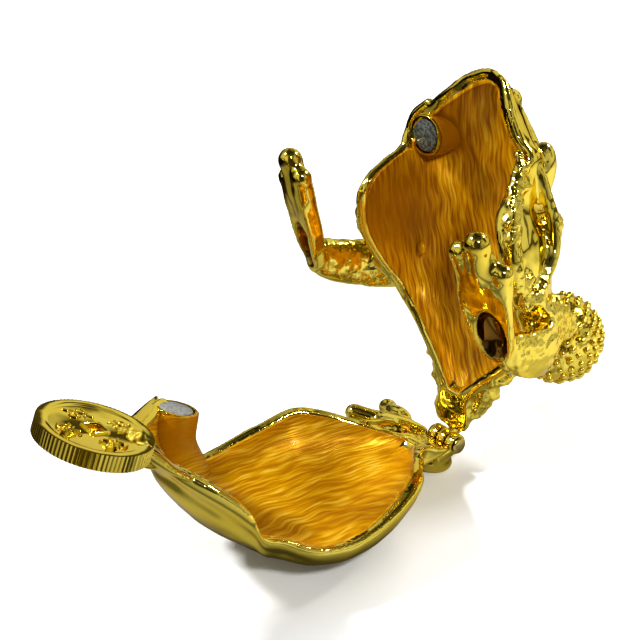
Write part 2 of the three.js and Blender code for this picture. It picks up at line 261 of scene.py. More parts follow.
def joined(name: str, pieces: Sequence[Piece]) -> Piece:
    """Makes several pieces one mesh.

    Args:
        name: The new piece's name.
        pieces: What goes into it.

    Returns:
        The joined piece.
    """
    pick(*pieces)
    if len(pieces) > 1:
        bpy.ops.object.join()
    whole = bpy.context.view_layer.objects.active
    whole.name = name
    return whole


def cut(piece: Piece, tool: Piece, solver: str = "MANIFOLD") -> None:
    """Takes the tool's volume out of the piece and deletes the tool."""
    apply(piece, "BOOLEAN", operation="DIFFERENCE", object=tool, solver=solver)
    bpy.data.objects.remove(tool)


def within(piece: Piece, tool: Piece) -> None:
    """Keeps only what lies inside the tool, and deletes the tool."""
    apply(piece, "BOOLEAN", operation="INTERSECT", object=tool, solver="EXACT")
    bpy.data.objects.remove(tool)


def fused(name: str, pieces: Sequence[Piece], grain: float, passes: int) -> Piece:
    """Casts overlapping pieces into one skin, with soft joints between them.

    Args:
        name: The new piece's name.
        pieces: Closed meshes.
        grain: Size of the new faces.
        passes: How often the skin is smoothed.

    Returns:
        The cast piece.
    """
    whole = joined(name, pieces)
    apply(whole, "REMESH", mode="VOXEL", voxel_size=grain, adaptivity=0.0)
    if passes:
        apply(whole, "SMOOTH", factor=0.5, iterations=passes)
    return whole


def spline(stations: Sequence[Sequence[float]], closed: bool, places: np.ndarray) -> np.ndarray:
    """Points on a centripetal curve through the stations.

    Args:
        stations: What the curve passes through.
        closed: Whether it comes back to its start.
        places: Where to read it, counted in stations.

    Returns:
        One row for each place.
    """
    knots = np.array(stations, float)
    count = len(knots)
    if not closed:
        knots = np.vstack([2 * knots[0] - knots[1], knots, 2 * knots[-1] - knots[-2]])
    first = np.floor(places).astype(int)
    first = first % count if closed else np.clip(first, 0, count - 2)
    share = (places - np.floor(places))[:, None]
    if not closed:
        share = (places - first)[:, None]
    four = [knots[(first + k - 1) % count if closed else first + k] for k in range(4)]
    steps = [np.maximum(np.linalg.norm(b - a, axis=1), 1e-9)[:, None] ** 0.5 for a, b in zip(four, four[1:])]
    before, here, after = steps
    slopes = [(four[k + 1] - four[k]) / steps[k] for k in range(3)]
    leaving = (slopes[0] - (four[2] - four[0]) / (before + here) + slopes[1]) * here
    arriving = (slopes[1] - (four[3] - four[1]) / (here + after) + slopes[2]) * here
    gap = four[2] - four[1]
    cubic = four[1] + leaving * share
    cubic = cubic + (3 * gap - 2 * leaving - arriving) * share ** 2
    return cubic + (leaving + arriving - 2 * gap) * share ** 3


def spaced(stations: Sequence[Sequence[float]], closed: bool, count: int) -> np.ndarray:
    """Evenly spaced points along such a curve, without the closing one.

    Args:
        stations: What the curve passes through.
        closed: Whether it comes back to its start.
        count: How many points.

    Returns:
        One row for each point.
    """
    spans = len(stations) - (0 if closed else 1)
    fine = spline(stations, closed, np.linspace(0, spans, spans * 40 + 1)[:-1])
    fine = np.vstack([fine, fine[:1]]) if closed else fine
    run = np.concatenate([[0], np.cumsum(np.linalg.norm(np.diff(fine, axis=0), axis=1))])
    places = np.linspace(0, run[-1], count, endpoint=not closed)
    return np.column_stack([np.interp(places, run, fine[:, axis]) for axis in range(fine.shape[1])])


def between(stations: Sequence[tuple[float, float]], place: np.ndarray) -> np.ndarray:
    """Smooth values between stations of (place, value).

    Args:
        stations: Places, rising, with their values.
        place: Where to read them.

    Returns:
        A value for each place.
    """
    at = np.array([station[0] for station in stations])
    value = np.array([station[1] for station in stations])
    before, after = np.maximum(np.arange(len(at)) - 1, 0), np.minimum(np.arange(len(at)) + 1, len(at) - 1)
    slope = (value[after] - value[before]) / (at[after] - at[before])
    held = np.clip(place, at[0], at[-1])
    i = np.clip(np.searchsorted(at, held, side="right") - 1, 0, len(at) - 2)
    width = at[i + 1] - at[i]
    t = (held - at[i]) / width
    start = (2 * t ** 3 - 3 * t ** 2 + 1) * value[i] + (t ** 3 - 2 * t ** 2 + t) * width * slope[i]
    return start + (3 * t ** 2 - 2 * t ** 3) * value[i + 1] + (t ** 3 - t ** 2) * width * slope[i + 1]


def globe(name: str, rings: np.ndarray, start: Sequence[float], end: Sequence[float]) -> Piece:
    """A sphere pulled to shape, ring by ring.

    Args:
        name: The new piece's name.
        rings: Rings of equally many points.
        start: The first pole.
        end: The last pole.

    Returns:
        The closed piece.
    """
    count, sides = rings.shape[:2]
    piece = added(bpy.ops.mesh.primitive_uv_sphere_add, segments=sides, ring_count=count + 1, radius=1.0)
    piece.name = name
    ball = corners(piece)
    ring = np.rint(np.arccos(np.clip(ball[:, 2], -1, 1)) * (count + 1) / np.pi).astype(int)
    side = np.rint(np.arctan2(ball[:, 1], ball[:, 0]) * sides / (2 * np.pi)).astype(int) % sides
    pulled = rings[np.clip(ring - 1, 0, count - 1), side]
    pulled[ring == 0] = start
    pulled[ring == count + 1] = end
    reshape(piece, pulled)
    face_out(piece)
    return piece


def ellipsoid(middle: Vector, half: Spot, turn: Spot = (0, 0, 0), detail: int = 32) -> Piece:
    """A ball stretched to three half-sizes and turned about x, y and z in degrees.

    Args:
        middle: Its middle.
        half: Its half-sizes.
        turn: Degrees about x, y and z.
        detail: Faces round it.

    Returns:
        The ball.
    """
    ball = added(
        bpy.ops.mesh.primitive_uv_sphere_add, segments=detail, ring_count=detail * 2 // 3, radius=1.0)
    turned = Matrix.Identity(4)
    for angle, axis in zip(turn, "XYZ"):
        turned = turned @ Matrix.Rotation(math.radians(angle), 4, axis)
    return fixed(ball, Matrix.Translation(middle) @ turned @ Matrix.Diagonal((*half, 1)))


def limb(
    points: Sequence[Sequence[float]],
    sections: Sequence[tuple[float, float]],
    across: Sequence[float] = (1, 0, 0),
    sides: int = 28,
    steps: int = 36,
) -> Piece:
    """A rod along a curve, whose width and depth change smoothly.

    Args:
        points: Places on its middle line.
        sections: Half-width across and half-depth, evenly along it.
        across: Which way the width runs.
        sides: Points round it.
        steps: Rings along it.

    Returns:
        The closed rod, with domed ends.
    """
    share = np.linspace(0, 1, steps)
    line = spline(points, False, share * (len(points) - 1))
    sizes = np.column_stack([
        between(list(zip(np.linspace(0, 1, len(sections)), [float(s[k]) for s in sections])), share)
        for k in range(2)
    ])
    along = np.gradient(line, axis=0)
    along /= np.linalg.norm(along, axis=1, keepdims=True)
    width = np.array(across, float) - along * (along @ np.array(across, float))[:, None]
    width /= np.linalg.norm(width, axis=1, keepdims=True)
    depth = np.cross(along, width)
    angle = np.linspace(0, 2 * np.pi, sides, endpoint=False)
    rings = (
        line[:, None]
        + np.cos(angle)[None, :, None] * (width * sizes[:, :1])[:, None]
        + np.sin(angle)[None, :, None] * (depth * sizes[:, 1:])[:, None]
    )
    dome = 0.35 * sizes[[0, -1]].min(axis=1)
    return globe("limb", rings, line[0] - along[0] * dome[0], line[-1] + along[-1] * dome[1])


def rounds(*radii: float) -> list[tuple[float, float]]:
    """Round sections for a limb."""
    return [(radius, radius) for radius in radii]


def cord(points: Sequence[Sequence[float]], radius: float) -> Piece:
    """A round raised line that thins out at both ends."""
    return limb(points, rounds(radius * 0.6, radius, radius, radius * 0.6), sides=12, steps=24)


def tube(radius: float, bore: float, half: float, middle: float, bevel: float) -> Piece:
    """A short tube along the hinge axis.

    Args:
        radius: Outside.
        bore: Inside.
        half: Half its length.
        middle: Its middle along the axis.
        bevel: Rounding of its outer edges.

    Returns:
        The tube.
    """
    piece = cylinder(radius, 2 * half)
    bevelled(piece, bevel, 3)
    cut(piece, cylinder(bore, 4 * half), "EXACT")
    return fixed(piece, lying(middle))


def copies(model: Piece, places: Sequence[Matrix]) -> list[Piece]:
    """Copies of a piece, each with its own mesh, at these places; the model itself goes.

    Args:
        model: What is copied.
        places: Where each copy goes.

    Returns:
        The copies.
    """
    made = []
    for place in places:
        twin = model.copy()
        twin.data = model.data.copy()
        twin.data.transform(place)
        bpy.context.scene.collection.objects.link(twin)
        made.append(twin)
    bpy.data.objects.remove(model)
    return made


def bead(finer: bool = False) -> Piece:
    """A slightly flattened ball of few faces, one millimetre in radius.

    Args:
        finer: Whether it has more faces, for a larger one.

    Returns:
        The ball.
    """
    piece = added(bpy.ops.mesh.primitive_ico_sphere_add, subdivisions=3 if finer else 2, radius=1.0)
    with opened(piece):
        bpy.ops.transform.resize(value=(1, 1, 0.9))
    return piece


def weigh(piece: Piece, name: str, weights: np.ndarray) -> None:
    """Keeps one weight a vertex as a vertex group, and as an attribute for the finish.

    Args:
        piece: What is weighed.
        name: The group's name.
        weights: One weight a vertex.
    """
    group = piece.vertex_groups.new(name=name)
    levels = np.rint(np.clip(weights, 0, 1) * WEIGHT_STEPS).astype(int)
    for level in range(1, WEIGHT_STEPS + 1):
        group.add(np.nonzero(levels == level)[0].tolist(), level / WEIGHT_STEPS, "REPLACE")
    attribute = piece.data.attributes.new(f"{name}_mask", "FLOAT", "POINT")
    attribute.data.foreach_set("value", np.clip(weights, 0, 1).astype(np.float32))


def near(rows: np.ndarray, middle: Spot, half: Spot, soft: float = 0.35) -> np.ndarray:
    """Weight of each row for a soft-edged ellipsoid: 1 well inside, 0 outside.

    Args:
        rows: Places.
        middle: Its middle.
        half: Its half-sizes.
        soft: Width of its edge, as a share of its size.

    Returns:
        One weight a row.
    """
    place = np.array(spot(*middle))
    reach = np.linalg.norm((rows - place) / np.array(half), axis=1)
    return np.clip((1 + soft / 2 - reach) / soft, 0, 1)


@dataclass(frozen=True)
class Rim:
    """The parting line of one shell, from the tail round the lips and back.

    Each side's stations run forward from the tail: to the toad's left, ahead of the hinge, up.
    """

    left: tuple[Spot, ...]
    front: Spot
    right: tuple[Spot, ...]
    lift: float = 0.0
    tail: tuple[Spot, ...] = (
        (3.2, 2.4, 0), (3.3, 8, 0.2), (8.6, 14, 0.8), (14.2, 20, 0.3),
        (16, 26, -3.4), (16.3, 32, -6.5), (15.4, 38, -7.8),
    )

    def outline(self, count: int) -> np.ndarray:
        """The closed outline as evenly spaced points.

        Args:
            count: How many points.

        Returns:
            One row for each point.
        """
        left, right = spots((*self.tail, *self.left)), spots((*self.tail, *self.right), -1)
        points = spaced([*left, spot(*self.front), *reversed(right)], True, count)
        points[:, 2] += self.lift
        return points


@dataclass(frozen=True)
class Shell:
    """A hollow bowl or dome of even wall under or over its rim."""

    rim: Rim
    spine: tuple[tuple[float, float], ...]
    way: Way
    wall: float = 1.6
    fullness: float = 2.2
    middle: Spot = (0, 31, -3)
    neck_end: float = 9.0
    crown: float = 0.55
    crown_rings: int = 15
    sides: int = 288
    rings: int = 44
    first_angle: float = 2.5
    last_angle: float = 89.4
    # The enamel: how far it stands proud of the wall and reaches into it, its domed edge, and its swellings.
    lining: float = 0.26
    lining_depth: float = 0.35
    lining_edge: float = 0.08
    lining_swell: tuple[float, float] = (5.0, 0.26)
    # The lips' wider brim: by how much, from where, over what length, and how many times that on the
    # near side.
    brim: float = 0.0
    brim_from: float = 40.0
    brim_rise: float = 8.0
    near_brim: float = 1.0
    # Where the rim is just as wide again behind the lips, and over what length.
    waist: float = 22.0
    waist_spread: float = 6.0
    # How far the inside's corners are rounded, in points of the outline, at the pole and by the neck,
    # and where each rounding sets in.
    ease: float = 6.0
    ease_power: float = 1.7
    neck_ease: float = 3.0
    neck_from: float = 6.0
    neck_blend: float = 4.0
    # The groove under the lips: its depth, its reach ahead and how it fades, and its place and width in
    # degrees.
    flute: float = 0.0
    flute_reach: tuple[float, float] = (36.0, 63.0)
    flute_fade: float = 6.0
    flute_angle: float = 23.0
    flute_spread: float = 9.0
    # The crown of the rim: how much of its fall the inner edge has, and the shallow ditch along it.
    inner_fall: float = 0.7
    ditch: float = 0.2
    ditch_at: float = 0.42
    ditch_width: float = 0.3
    # How far the solid that clears the hollow stands past the rim.
    clearing: float = 14.0

    def drawn_in(self, distance: float) -> np.ndarray:
        """The outline drawn in by a distance, and ended short of the narrow neck.

        Args:
            distance: How far, besides the brim, which widens the lips.

        Returns:
            The inner outline.
        """
        line = self.rim.outline(self.sides)
        step = np.roll(line, -1, axis=0) - np.roll(line, 1, axis=0)
        inward = np.column_stack([-step[:, 1], step[:, 0], np.zeros(len(line))])
        inward /= np.linalg.norm(inward, axis=1, keepdims=True)
        nxt = np.roll(line, -1, axis=0)
        turn = np.sign(np.sum(line[:, 0] * nxt[:, 1] - nxt[:, 0] * line[:, 1]))
        ahead = -line[:, 1]
        wide = np.clip((ahead - self.brim_from) / self.brim_rise, 0, 1)
        wide = wide * np.where(line[:, 0] > 0, self.near_brim, 1)
        wide = np.maximum(wide, np.exp(-(((ahead - self.waist) / self.waist_spread) ** 2)))[:, None]
        inner = line + inward * turn * (distance + self.brim * wide)
        back = line[:, 1].max()
        beyond = np.maximum(inner[:, 1] + self.neck_end, 0) / (back + self.neck_end)
        held = beyond > 0
        inner[held, 0] *= 1 - beyond[held] / 2
        inner[held, 1] = beyond[held] - self.neck_end
        by_neck = np.clip((inner[:, 1] + self.neck_end + self.neck_from) / self.neck_blend, 0, 1)[:, None]
        return inner + (self.eased(inner, self.neck_ease) - inner) * by_neck

    def eased(self, line: np.ndarray, reach: float) -> np.ndarray:
        """The outline with its corners rounded off over so many points.

        Args:
            line: The outline.
            reach: Over how many points.

        Returns:
            The rounded outline.
        """
        if reach < 0.5:
            return line
        wide = int(3 * reach)
        weights = np.exp(-0.5 * (np.arange(-wide, wide + 1) / reach) ** 2)
        around = np.concatenate([line[-wide:], line, line[:wide]])
        weights = weights / weights.sum()
        return np.column_stack([np.convolve(around[:, k], weights, "valid") for k in range(3)])

    def bowl(self, line: np.ndarray, depth: float, angles: np.ndarray) -> np.ndarray:
        """Rings from an outline towards the pole.

        Args:
            line: The outline.
            depth: How far inside the outer surface. Inside, the corners are rounded towards the pole.
            angles: Each ring's angle from the rim.

        Returns:
            The rings.
        """
        share = np.cos(np.radians(angles))
        drop = ((1 - share ** self.fullness) ** (1 / self.fullness))[:, None]
        middle = spot(*self.middle)
        soft = self.ease if depth > 0.5 else 0
        lines = np.stack([
            self.eased(line, soft * math.sin(math.radians(angle)) ** self.ease_power) for angle in angles])
        x = middle.x + (lines[:, :, 0] - middle.x) * share[:, None]
        y = middle.y + (lines[:, :, 1] - middle.y) * share[:, None]
        height = between(self.spine, -y.ravel()).reshape(y.shape) - self.way.value * depth
        return np.stack([x, y, lines[:, :, 2] * (1 - drop) + height * drop], axis=2)

    def fluted(self, rings: np.ndarray) -> np.ndarray:
        """The outer rings with the shallow groove that runs under the lips.

        Args:
            rings: The outer rings.

        Returns:
            The rings with the groove.
        """
        ahead, (start, end) = -rings[:, :, 1], self.flute_reach
        there = np.clip((ahead - start) / self.flute_fade, 0, 1)
        there = there * np.clip((end - ahead) / self.flute_fade, 0, 1)
        profile = np.exp(-(((self.angles() - self.flute_angle) / self.flute_spread) ** 2))
        groove = profile[:, None] * there * self.flute
        middle = spot(*self.middle)
        sideways = np.stack([rings[:, :, 0] - middle.x, rings[:, :, 1] - middle.y], axis=2)
        sideways /= np.maximum(np.linalg.norm(sideways, axis=2, keepdims=True), 1e-9)
        rings = rings.copy()
        rings[:, :, :2] -= sideways * groove[:, :, None]
        return rings

    def pole(self, depth: float) -> Spot:
        """Where the bowl closes.

        Args:
            depth: How far inside the outer surface.

        Returns:
            The place.
        """
        middle = spot(*self.middle)
        height = float(between(self.spine, np.array([self.middle[1]]))[0])
        return (middle.x, middle.y, height - self.way.value * depth)

    def angles(self) -> np.ndarray:
        """Ring angles from the rim to the pole."""
        return np.linspace(self.first_angle, self.last_angle, self.rings)

    def wall_piece(self) -> Piece:
        """The wall itself: outside, a crown rounded to the outside, and inside.

        Returns:
            The closed wall.
        """
        outer_line, inner_line = self.rim.outline(self.sides), self.drawn_in(self.wall)
        outer = self.bowl(outer_line, 0, self.angles())
        inner = self.bowl(inner_line, self.wall, self.angles())
        sides = ((outer, outer_line), (inner, inner_line))
        room = [np.abs(rings[0][:, 2] - line[:, 2]) for rings, line in sides]
        crown = []
        for across in np.linspace(-1, 1, self.crown_rings + 2)[1:-1]:
            ring = outer_line * (1 - across) / 2 + inner_line * (1 + across) / 2
            fall = abs(across) ** 5 if across < 0 else self.inner_fall * across ** 8
            ditch = self.ditch * math.exp(-(((across - self.ditch_at) / self.ditch_width) ** 4))
            ring[:, 2] += self.way.value * (np.minimum(self.crown, 0.8 * room[across > 0]) * fall + ditch)
            crown.append(ring)
        rings = np.concatenate([self.fluted(outer)[::-1], np.array(crown), inner])
        return globe("wall", rings, self.pole(0), self.pole(self.wall))

    def hollow_piece(self) -> Piece:
        """The hollow as a solid, for clearing what stands into it.

        Returns:
            The closed solid.
        """
        line = self.drawn_in(self.wall)
        inner = self.bowl(line, self.wall, self.angles())
        mouth = line.copy()
        mouth[:, 2] = -self.way.value * self.clearing
        middle = spot(*self.middle)
        rings = np.concatenate([mouth[None], line[None], inner])
        top = (middle.x, middle.y, -self.way.value * self.clearing)
        return globe("hollow", rings, top, self.pole(self.wall))

    def lining_piece(self) -> Piece:
        """The layer of enamel fused to the inside, sunk a little into the wall.

        Returns:
            The closed layer.
        """
        sunk, proud = self.wall - self.lining_depth, self.wall + self.lining
        back = self.bowl(self.drawn_in(sunk), sunk, self.angles())
        face = self.bowl(self.drawn_in(proud), proud, self.angles())
        edge = (back[:1] + face[:1]) / 2
        edge[:, :, 2] -= self.way.value * self.lining_edge
        rings = np.concatenate([back[::-1], edge, face])
        layer = globe("lining", rings, self.pole(sunk), self.pole(proud))
        swollen(layer, *self.lining_swell)
        return layer


LOWER_LIPS = Rim(
    left=((13.1, 43, -7.1), (12.5, 46.5, -6.6), (12.4, 49.6, -3.2), (10.8, 53, -1), (8.7, 56, 0.2),
          (4.6, 58.8, 0.9)),
    front=(0, 60, 1.2),
    right=((15.4, 40.3, -6.3), (15.4, 42, -3.2), (15.4, 43.5, 0.3), (15.2, 45.6, 2.2), (14.6, 48, 2.3),
           (12.3, 51.2, 2.1), (9.4, 54.6, 1.8), (6, 57.5, 1.4)),
)
UPPER_LIPS = Rim(
    left=((13.1, 43, -6.8), (11.9, 47.2, -2.4), (10.9, 49.8, 0.6), (8.7, 51.8, 0.4), (7.2, 54.2, 0.3),
          (5.8, 56.6, 0.7), (3.4, 58.8, 1.9)),
    front=(0, 59.45, 2.6),
    right=((15.4, 40.3, -6.3), (15.4, 42, -3.2), (15.4, 43.5, 0.3), (15.2, 45.6, 2.2), (14.4, 48, 2.4),
           (11.4, 51.2, 2.3), (8.2, 54.2, 2.1), (4.4, 57.5, 2.5)),
    lift=0.5,
)


@dataclass(frozen=True)
class Hinge:
    """Two knuckles on the belly, one on the lid between them, and a pin through all three."""

    pin_radius: float = 0.6
    clearance: float = 0.3
    knuckle_wall: float = 0.75
    knuckle_length: float = 1.5
    gap: float = 0.3
    head_length: float = 0.35
    bevel: float = 0.22

    @property
    def bore(self) -> float:
        """Radius of the hole through the knuckles."""
        return self.pin_radius + self.clearance

    @property
    def radius(self) -> float:
        """Outer radius of a knuckle."""
        return self.bore + self.knuckle_wall

    @property
    def pitch(self) -> float:
        """From one knuckle to the next."""
        return self.knuckle_length + self.gap

    def knuckle(self, place: float) -> Piece:
        """One knuckle at a place along the axis."""
        return tube(self.radius, self.bore, self.knuckle_length / 2, place, self.bevel)

    def room(self, place: float) -> Piece:
        """The room that a knuckle's neighbour leaves it."""
        half = self.knuckle_length / 2 + self.gap
        return self.bar(self.radius + self.gap, half, place)

    def bar(self, radius: float, half: float, place: float = 0) -> Piece:
        """A plain bar along the axis."""
        return cylinder(radius, 2 * half, lying(place))

    def carried(self, skin: Piece, arms: Sequence[Piece], rooms: Sequence[float], grain: float) -> Piece:
        """Casts what carries a half's knuckles onto its skin, clear of the other half's.

        Args:
            skin: The half's skin.
            arms: What carries its knuckles.
            rooms: Places of the other half's knuckles along the axis.
            grain: Size of the skin's faces.

        Returns:
            The skin with its arms, drilled for the pin.
        """
        for place in rooms:
            cut(skin, self.room(place))
        skin = fused(skin.name, [skin, *arms], grain, 1)
        for place in rooms:
            cut(skin, self.room(place))
        cut(skin, self.bar(self.bore, 6))
        return skin

    def pin(self) -> Piece:
        """The pin, with a low domed head at each end.

        Returns:
            The pin, along the axis.
        """
        half = self.pitch + self.knuckle_length / 2 + self.gap
        head = self.radius * 0.8
        end = half + self.head_length
        dome = [(share * self.head_length, head * math.sqrt(1 - share ** 2)) for share in (0.9, 0.7, 0.4, 0)]
        profile = [
            *((-half - out, radius) for out, radius in dome), (-half, self.pin_radius),
            (half, self.pin_radius), *((half + out, radius) for out, radius in reversed(dome)),
        ]
        angle = np.linspace(0, 2 * np.pi, 32, endpoint=False)
        rings = np.array([
            [(x, radius * math.cos(turn), radius * math.sin(turn)) for turn in angle] for x, radius in profile
        ])
        return globe("pin", rings, (-end, 0, 0), (end, 0, 0))


HINGE = Hinge()


@dataclass(frozen=True)
class MagnetPair:
    """Two disc magnets that meet at the right corner of the mouth when the box is shut."""

    x: float = -11.5
    forward: float = 45.9
    face: float = 2.1
    radius: float = 2.45
    thickness: float = 1.5
    clearance: float = 0.3
    socket_wall: float = 0.4
    lip_depth: float = 1.2

    @property
    def pocket(self) -> float:
        """Radius of the pocket that a magnet lies in."""
        return self.radius + self.clearance

    @property
    def post(self) -> float:
        """Outer radius of the socket round the pocket."""
        return self.pocket + self.socket_wall

    def rod(self, radius: float, low: float, high: float) -> Piece:
        """A plain upright rod on the magnets' axis between two heights."""
        pose = Matrix.Translation(spot(self.x, self.forward, (low + high) / 2))
        return cylinder(radius, high - low, pose, sides=72)

    def disc(self, name: str, face: float, way: Way) -> Piece:
        """One magnet, with its face at a height and its edges a little rounded.

        Args:
            name: The piece's name.
            face: Height of its face.
            way: Which way its back lies from its face.

        Returns:
            The disc.
        """
        low, high = sorted((face, face + way.value * self.thickness))
        piece = self.rod(self.radius, low, high)
        piece.name = name
        bevelled(piece, 0.15, 2)
        return piece

    def room(self) -> Piece:
        """The room that the belly's post needs in the lid when the box is shut."""
        return self.rod(self.post + 0.2, self.face - 9, self.face + 0.2)

    def lip(self, face: float, way: Way) -> Piece:
        """The thin gold ring round the mouth of a pocket whose face is at this height.

        Args:
            face: Height of the pocket's face.
            way: Which way the pocket goes in.

        Returns:
            The ring.
        """
        low, high = sorted((face, face + way.value * self.lip_depth))
        ring = self.rod(self.post, low, high)
        bevelled(ring, 0.14, 3)
        cut(ring, self.rod(self.pocket, low - 1, high + 1), "EXACT")
        return ring


MAGNETS = MagnetPair()


@dataclass(frozen=True)
class Coin:
    """The coin that the toad holds in front of its lips."""

    radius: float = 7.89
    thickness: float = 2.3
    border: float = 1.1
    relief: float = 0.2
    roll: float = 4.5
    tongue: Spot = (0, 61.1, 2.9)
    hole_half: float = 1.1
    hole_depth: float = 1.1
    reeds: int = 84
    reed_depth: float = 0.2

    @property
    def face(self) -> float:
        """Height of the sunk face while the coin lies flat."""
        return self.thickness - self.relief

    def pose(self) -> Matrix:
        """Carries the coin from lying flat round the origin to its place.

        Returns:
            Its place and lean.
        """
        x, forward, up = self.tongue
        lean = Matrix.Rotation(math.radians(self.roll), 4, "Y")
        return Matrix.Translation(spot(x, forward + self.radius, up)) @ lean

    def disc(self) -> Piece:
        """The coin itself: a border raised round both faces, and an edge of upright reeds.

        Returns:
            The disc, lying flat.
        """
        raised = Matrix.Translation((0, 0, self.thickness / 2))
        piece = cylinder(self.radius, self.thickness, raised, self.reeds * 3)
        bpy.ops.object.mode_set(mode="EDIT")
        bpy.ops.mesh.select_mode(type="FACE")
        for top in (True, False):
            bpy.ops.mesh.select_all(action="DESELECT")
            bpy.ops.object.mode_set(mode="OBJECT")
            for face in piece.data.polygons:
                face.select = (face.normal.z > 0.9) if top else (face.normal.z < -0.9)
            bpy.ops.object.mode_set(mode="EDIT")
            for width, sink in ((0.12, 0), (self.border - 0.12, 0), (0.3, self.relief), (0.35, self.relief)):
                bpy.ops.mesh.inset(thickness=width, depth=-sink * 0.5)
        bpy.ops.object.mode_set(mode="OBJECT")
        rows = corners(piece)
        reach = np.hypot(rows[:, 0], rows[:, 1])
        turn = np.arctan2(rows[:, 1], rows[:, 0])
        place = np.rint(turn / (2 * np.pi) * self.reeds * 3).astype(int) % 3
        edge = reach > self.radius - 0.02
        worn = 1 + 0.5 * np.sin(turn * 5) * np.cos(turn * 3 + 1)
        shrink = np.where(edge & (place == 0), 1 - self.reed_depth * worn / self.radius, 1)
        rows[:, :2] *= shrink[:, None]
        reshape(piece, rows)
        return piece

    def stroke(self) -> Piece:
        """One raised stroke, a millimetre long, with its ends and edges rounded.

        Returns:
            The stroke, for copying.
        """
        piece = added(bpy.ops.mesh.primitive_cube_add, size=1.0)
        bevelled(piece, 0.2, 2)
        return piece

    def strokes(self) -> list[Piece]:
        """Four groups of short strokes round the hole, which spell nothing.

        Returns:
            Every stroke.
        """
        reach = 4.5
        places = []
        for group in range(4):
            side = Matrix.Rotation(group * math.pi / 2, 4, "Z")
            for row in range(4):
                for column in range(3):
                    slant = (row * 5 + column * 3 + group * 2) % 7 * 0.45 - 1.2
                    length = 0.7 + 0.2 * ((row + column + group) % 3)
                    where = Matrix.Translation((reach - 1.3 + column * 0.95, (row - 1.5) * 0.85, self.face))
                    size = Matrix.Diagonal((length, 0.26, 0.34 + 0.1 * ((row + group) % 2), 1))
                    places.append(side @ where @ Matrix.Rotation(slant, 4, "Z") @ size)
        return copies(self.stroke(), places)

    def frame_bars(self) -> list[Piece]:
        """The low square frame round the hole.

        Returns:
            Its four bars.
        """
        places = []
        for side in range(4):
            turn = Matrix.Rotation(side * math.pi / 2, 4, "Z")
            where = Matrix.Translation((self.hole_half + 0.2, 0, self.face))
            places.append(turn @ where @ Matrix.Diagonal((0.35, 2 * self.hole_half + 0.7, 0.55, 1)))
        return copies(self.stroke(), places)

    def crumbs(self) -> list[Piece]:
        """The clump of gold grains between the hole and the lips.

        Returns:
            Every grain.
        """
        spread = np.random.default_rng(8)
        places = []
        for _ in range(44):
            where = (2.2 + spread.normal(0, 1.4), 4.5 + spread.normal(0, 0.8),
                     self.face + spread.uniform(0, 0.1))
            size = spread.uniform(0.2, 0.36)
            places.append(Matrix.Translation(where) @ Matrix.Diagonal((size, size * 0.8, size * 0.8, 1)))
        return copies(bead(), places)

    def build(self) -> Piece:
        """The whole coin in its place.

        Returns:
            The coin as one piece.
        """
        disc = self.disc()
        hole = Matrix.Diagonal((2 * self.hole_half, 2 * self.hole_half, 2 * self.hole_depth, 1))
        drill = added(bpy.ops.mesh.primitive_cube_add, size=1.0)
        cut(disc, fixed(drill, Matrix.Translation((0, 0, self.thickness)) @ hole), "EXACT")
        whole = joined("coin", [disc, *self.strokes(), *self.frame_bars(), *self.crumbs()])
        whole.data.transform(self.pose())
        return whole


@dataclass(frozen=True)
class Toe:
    """One toe: where it leaves the palm, where its ball lies, and how big the ball is."""

    root: float
    start: float
    tip: float
    reach: float
    size: float


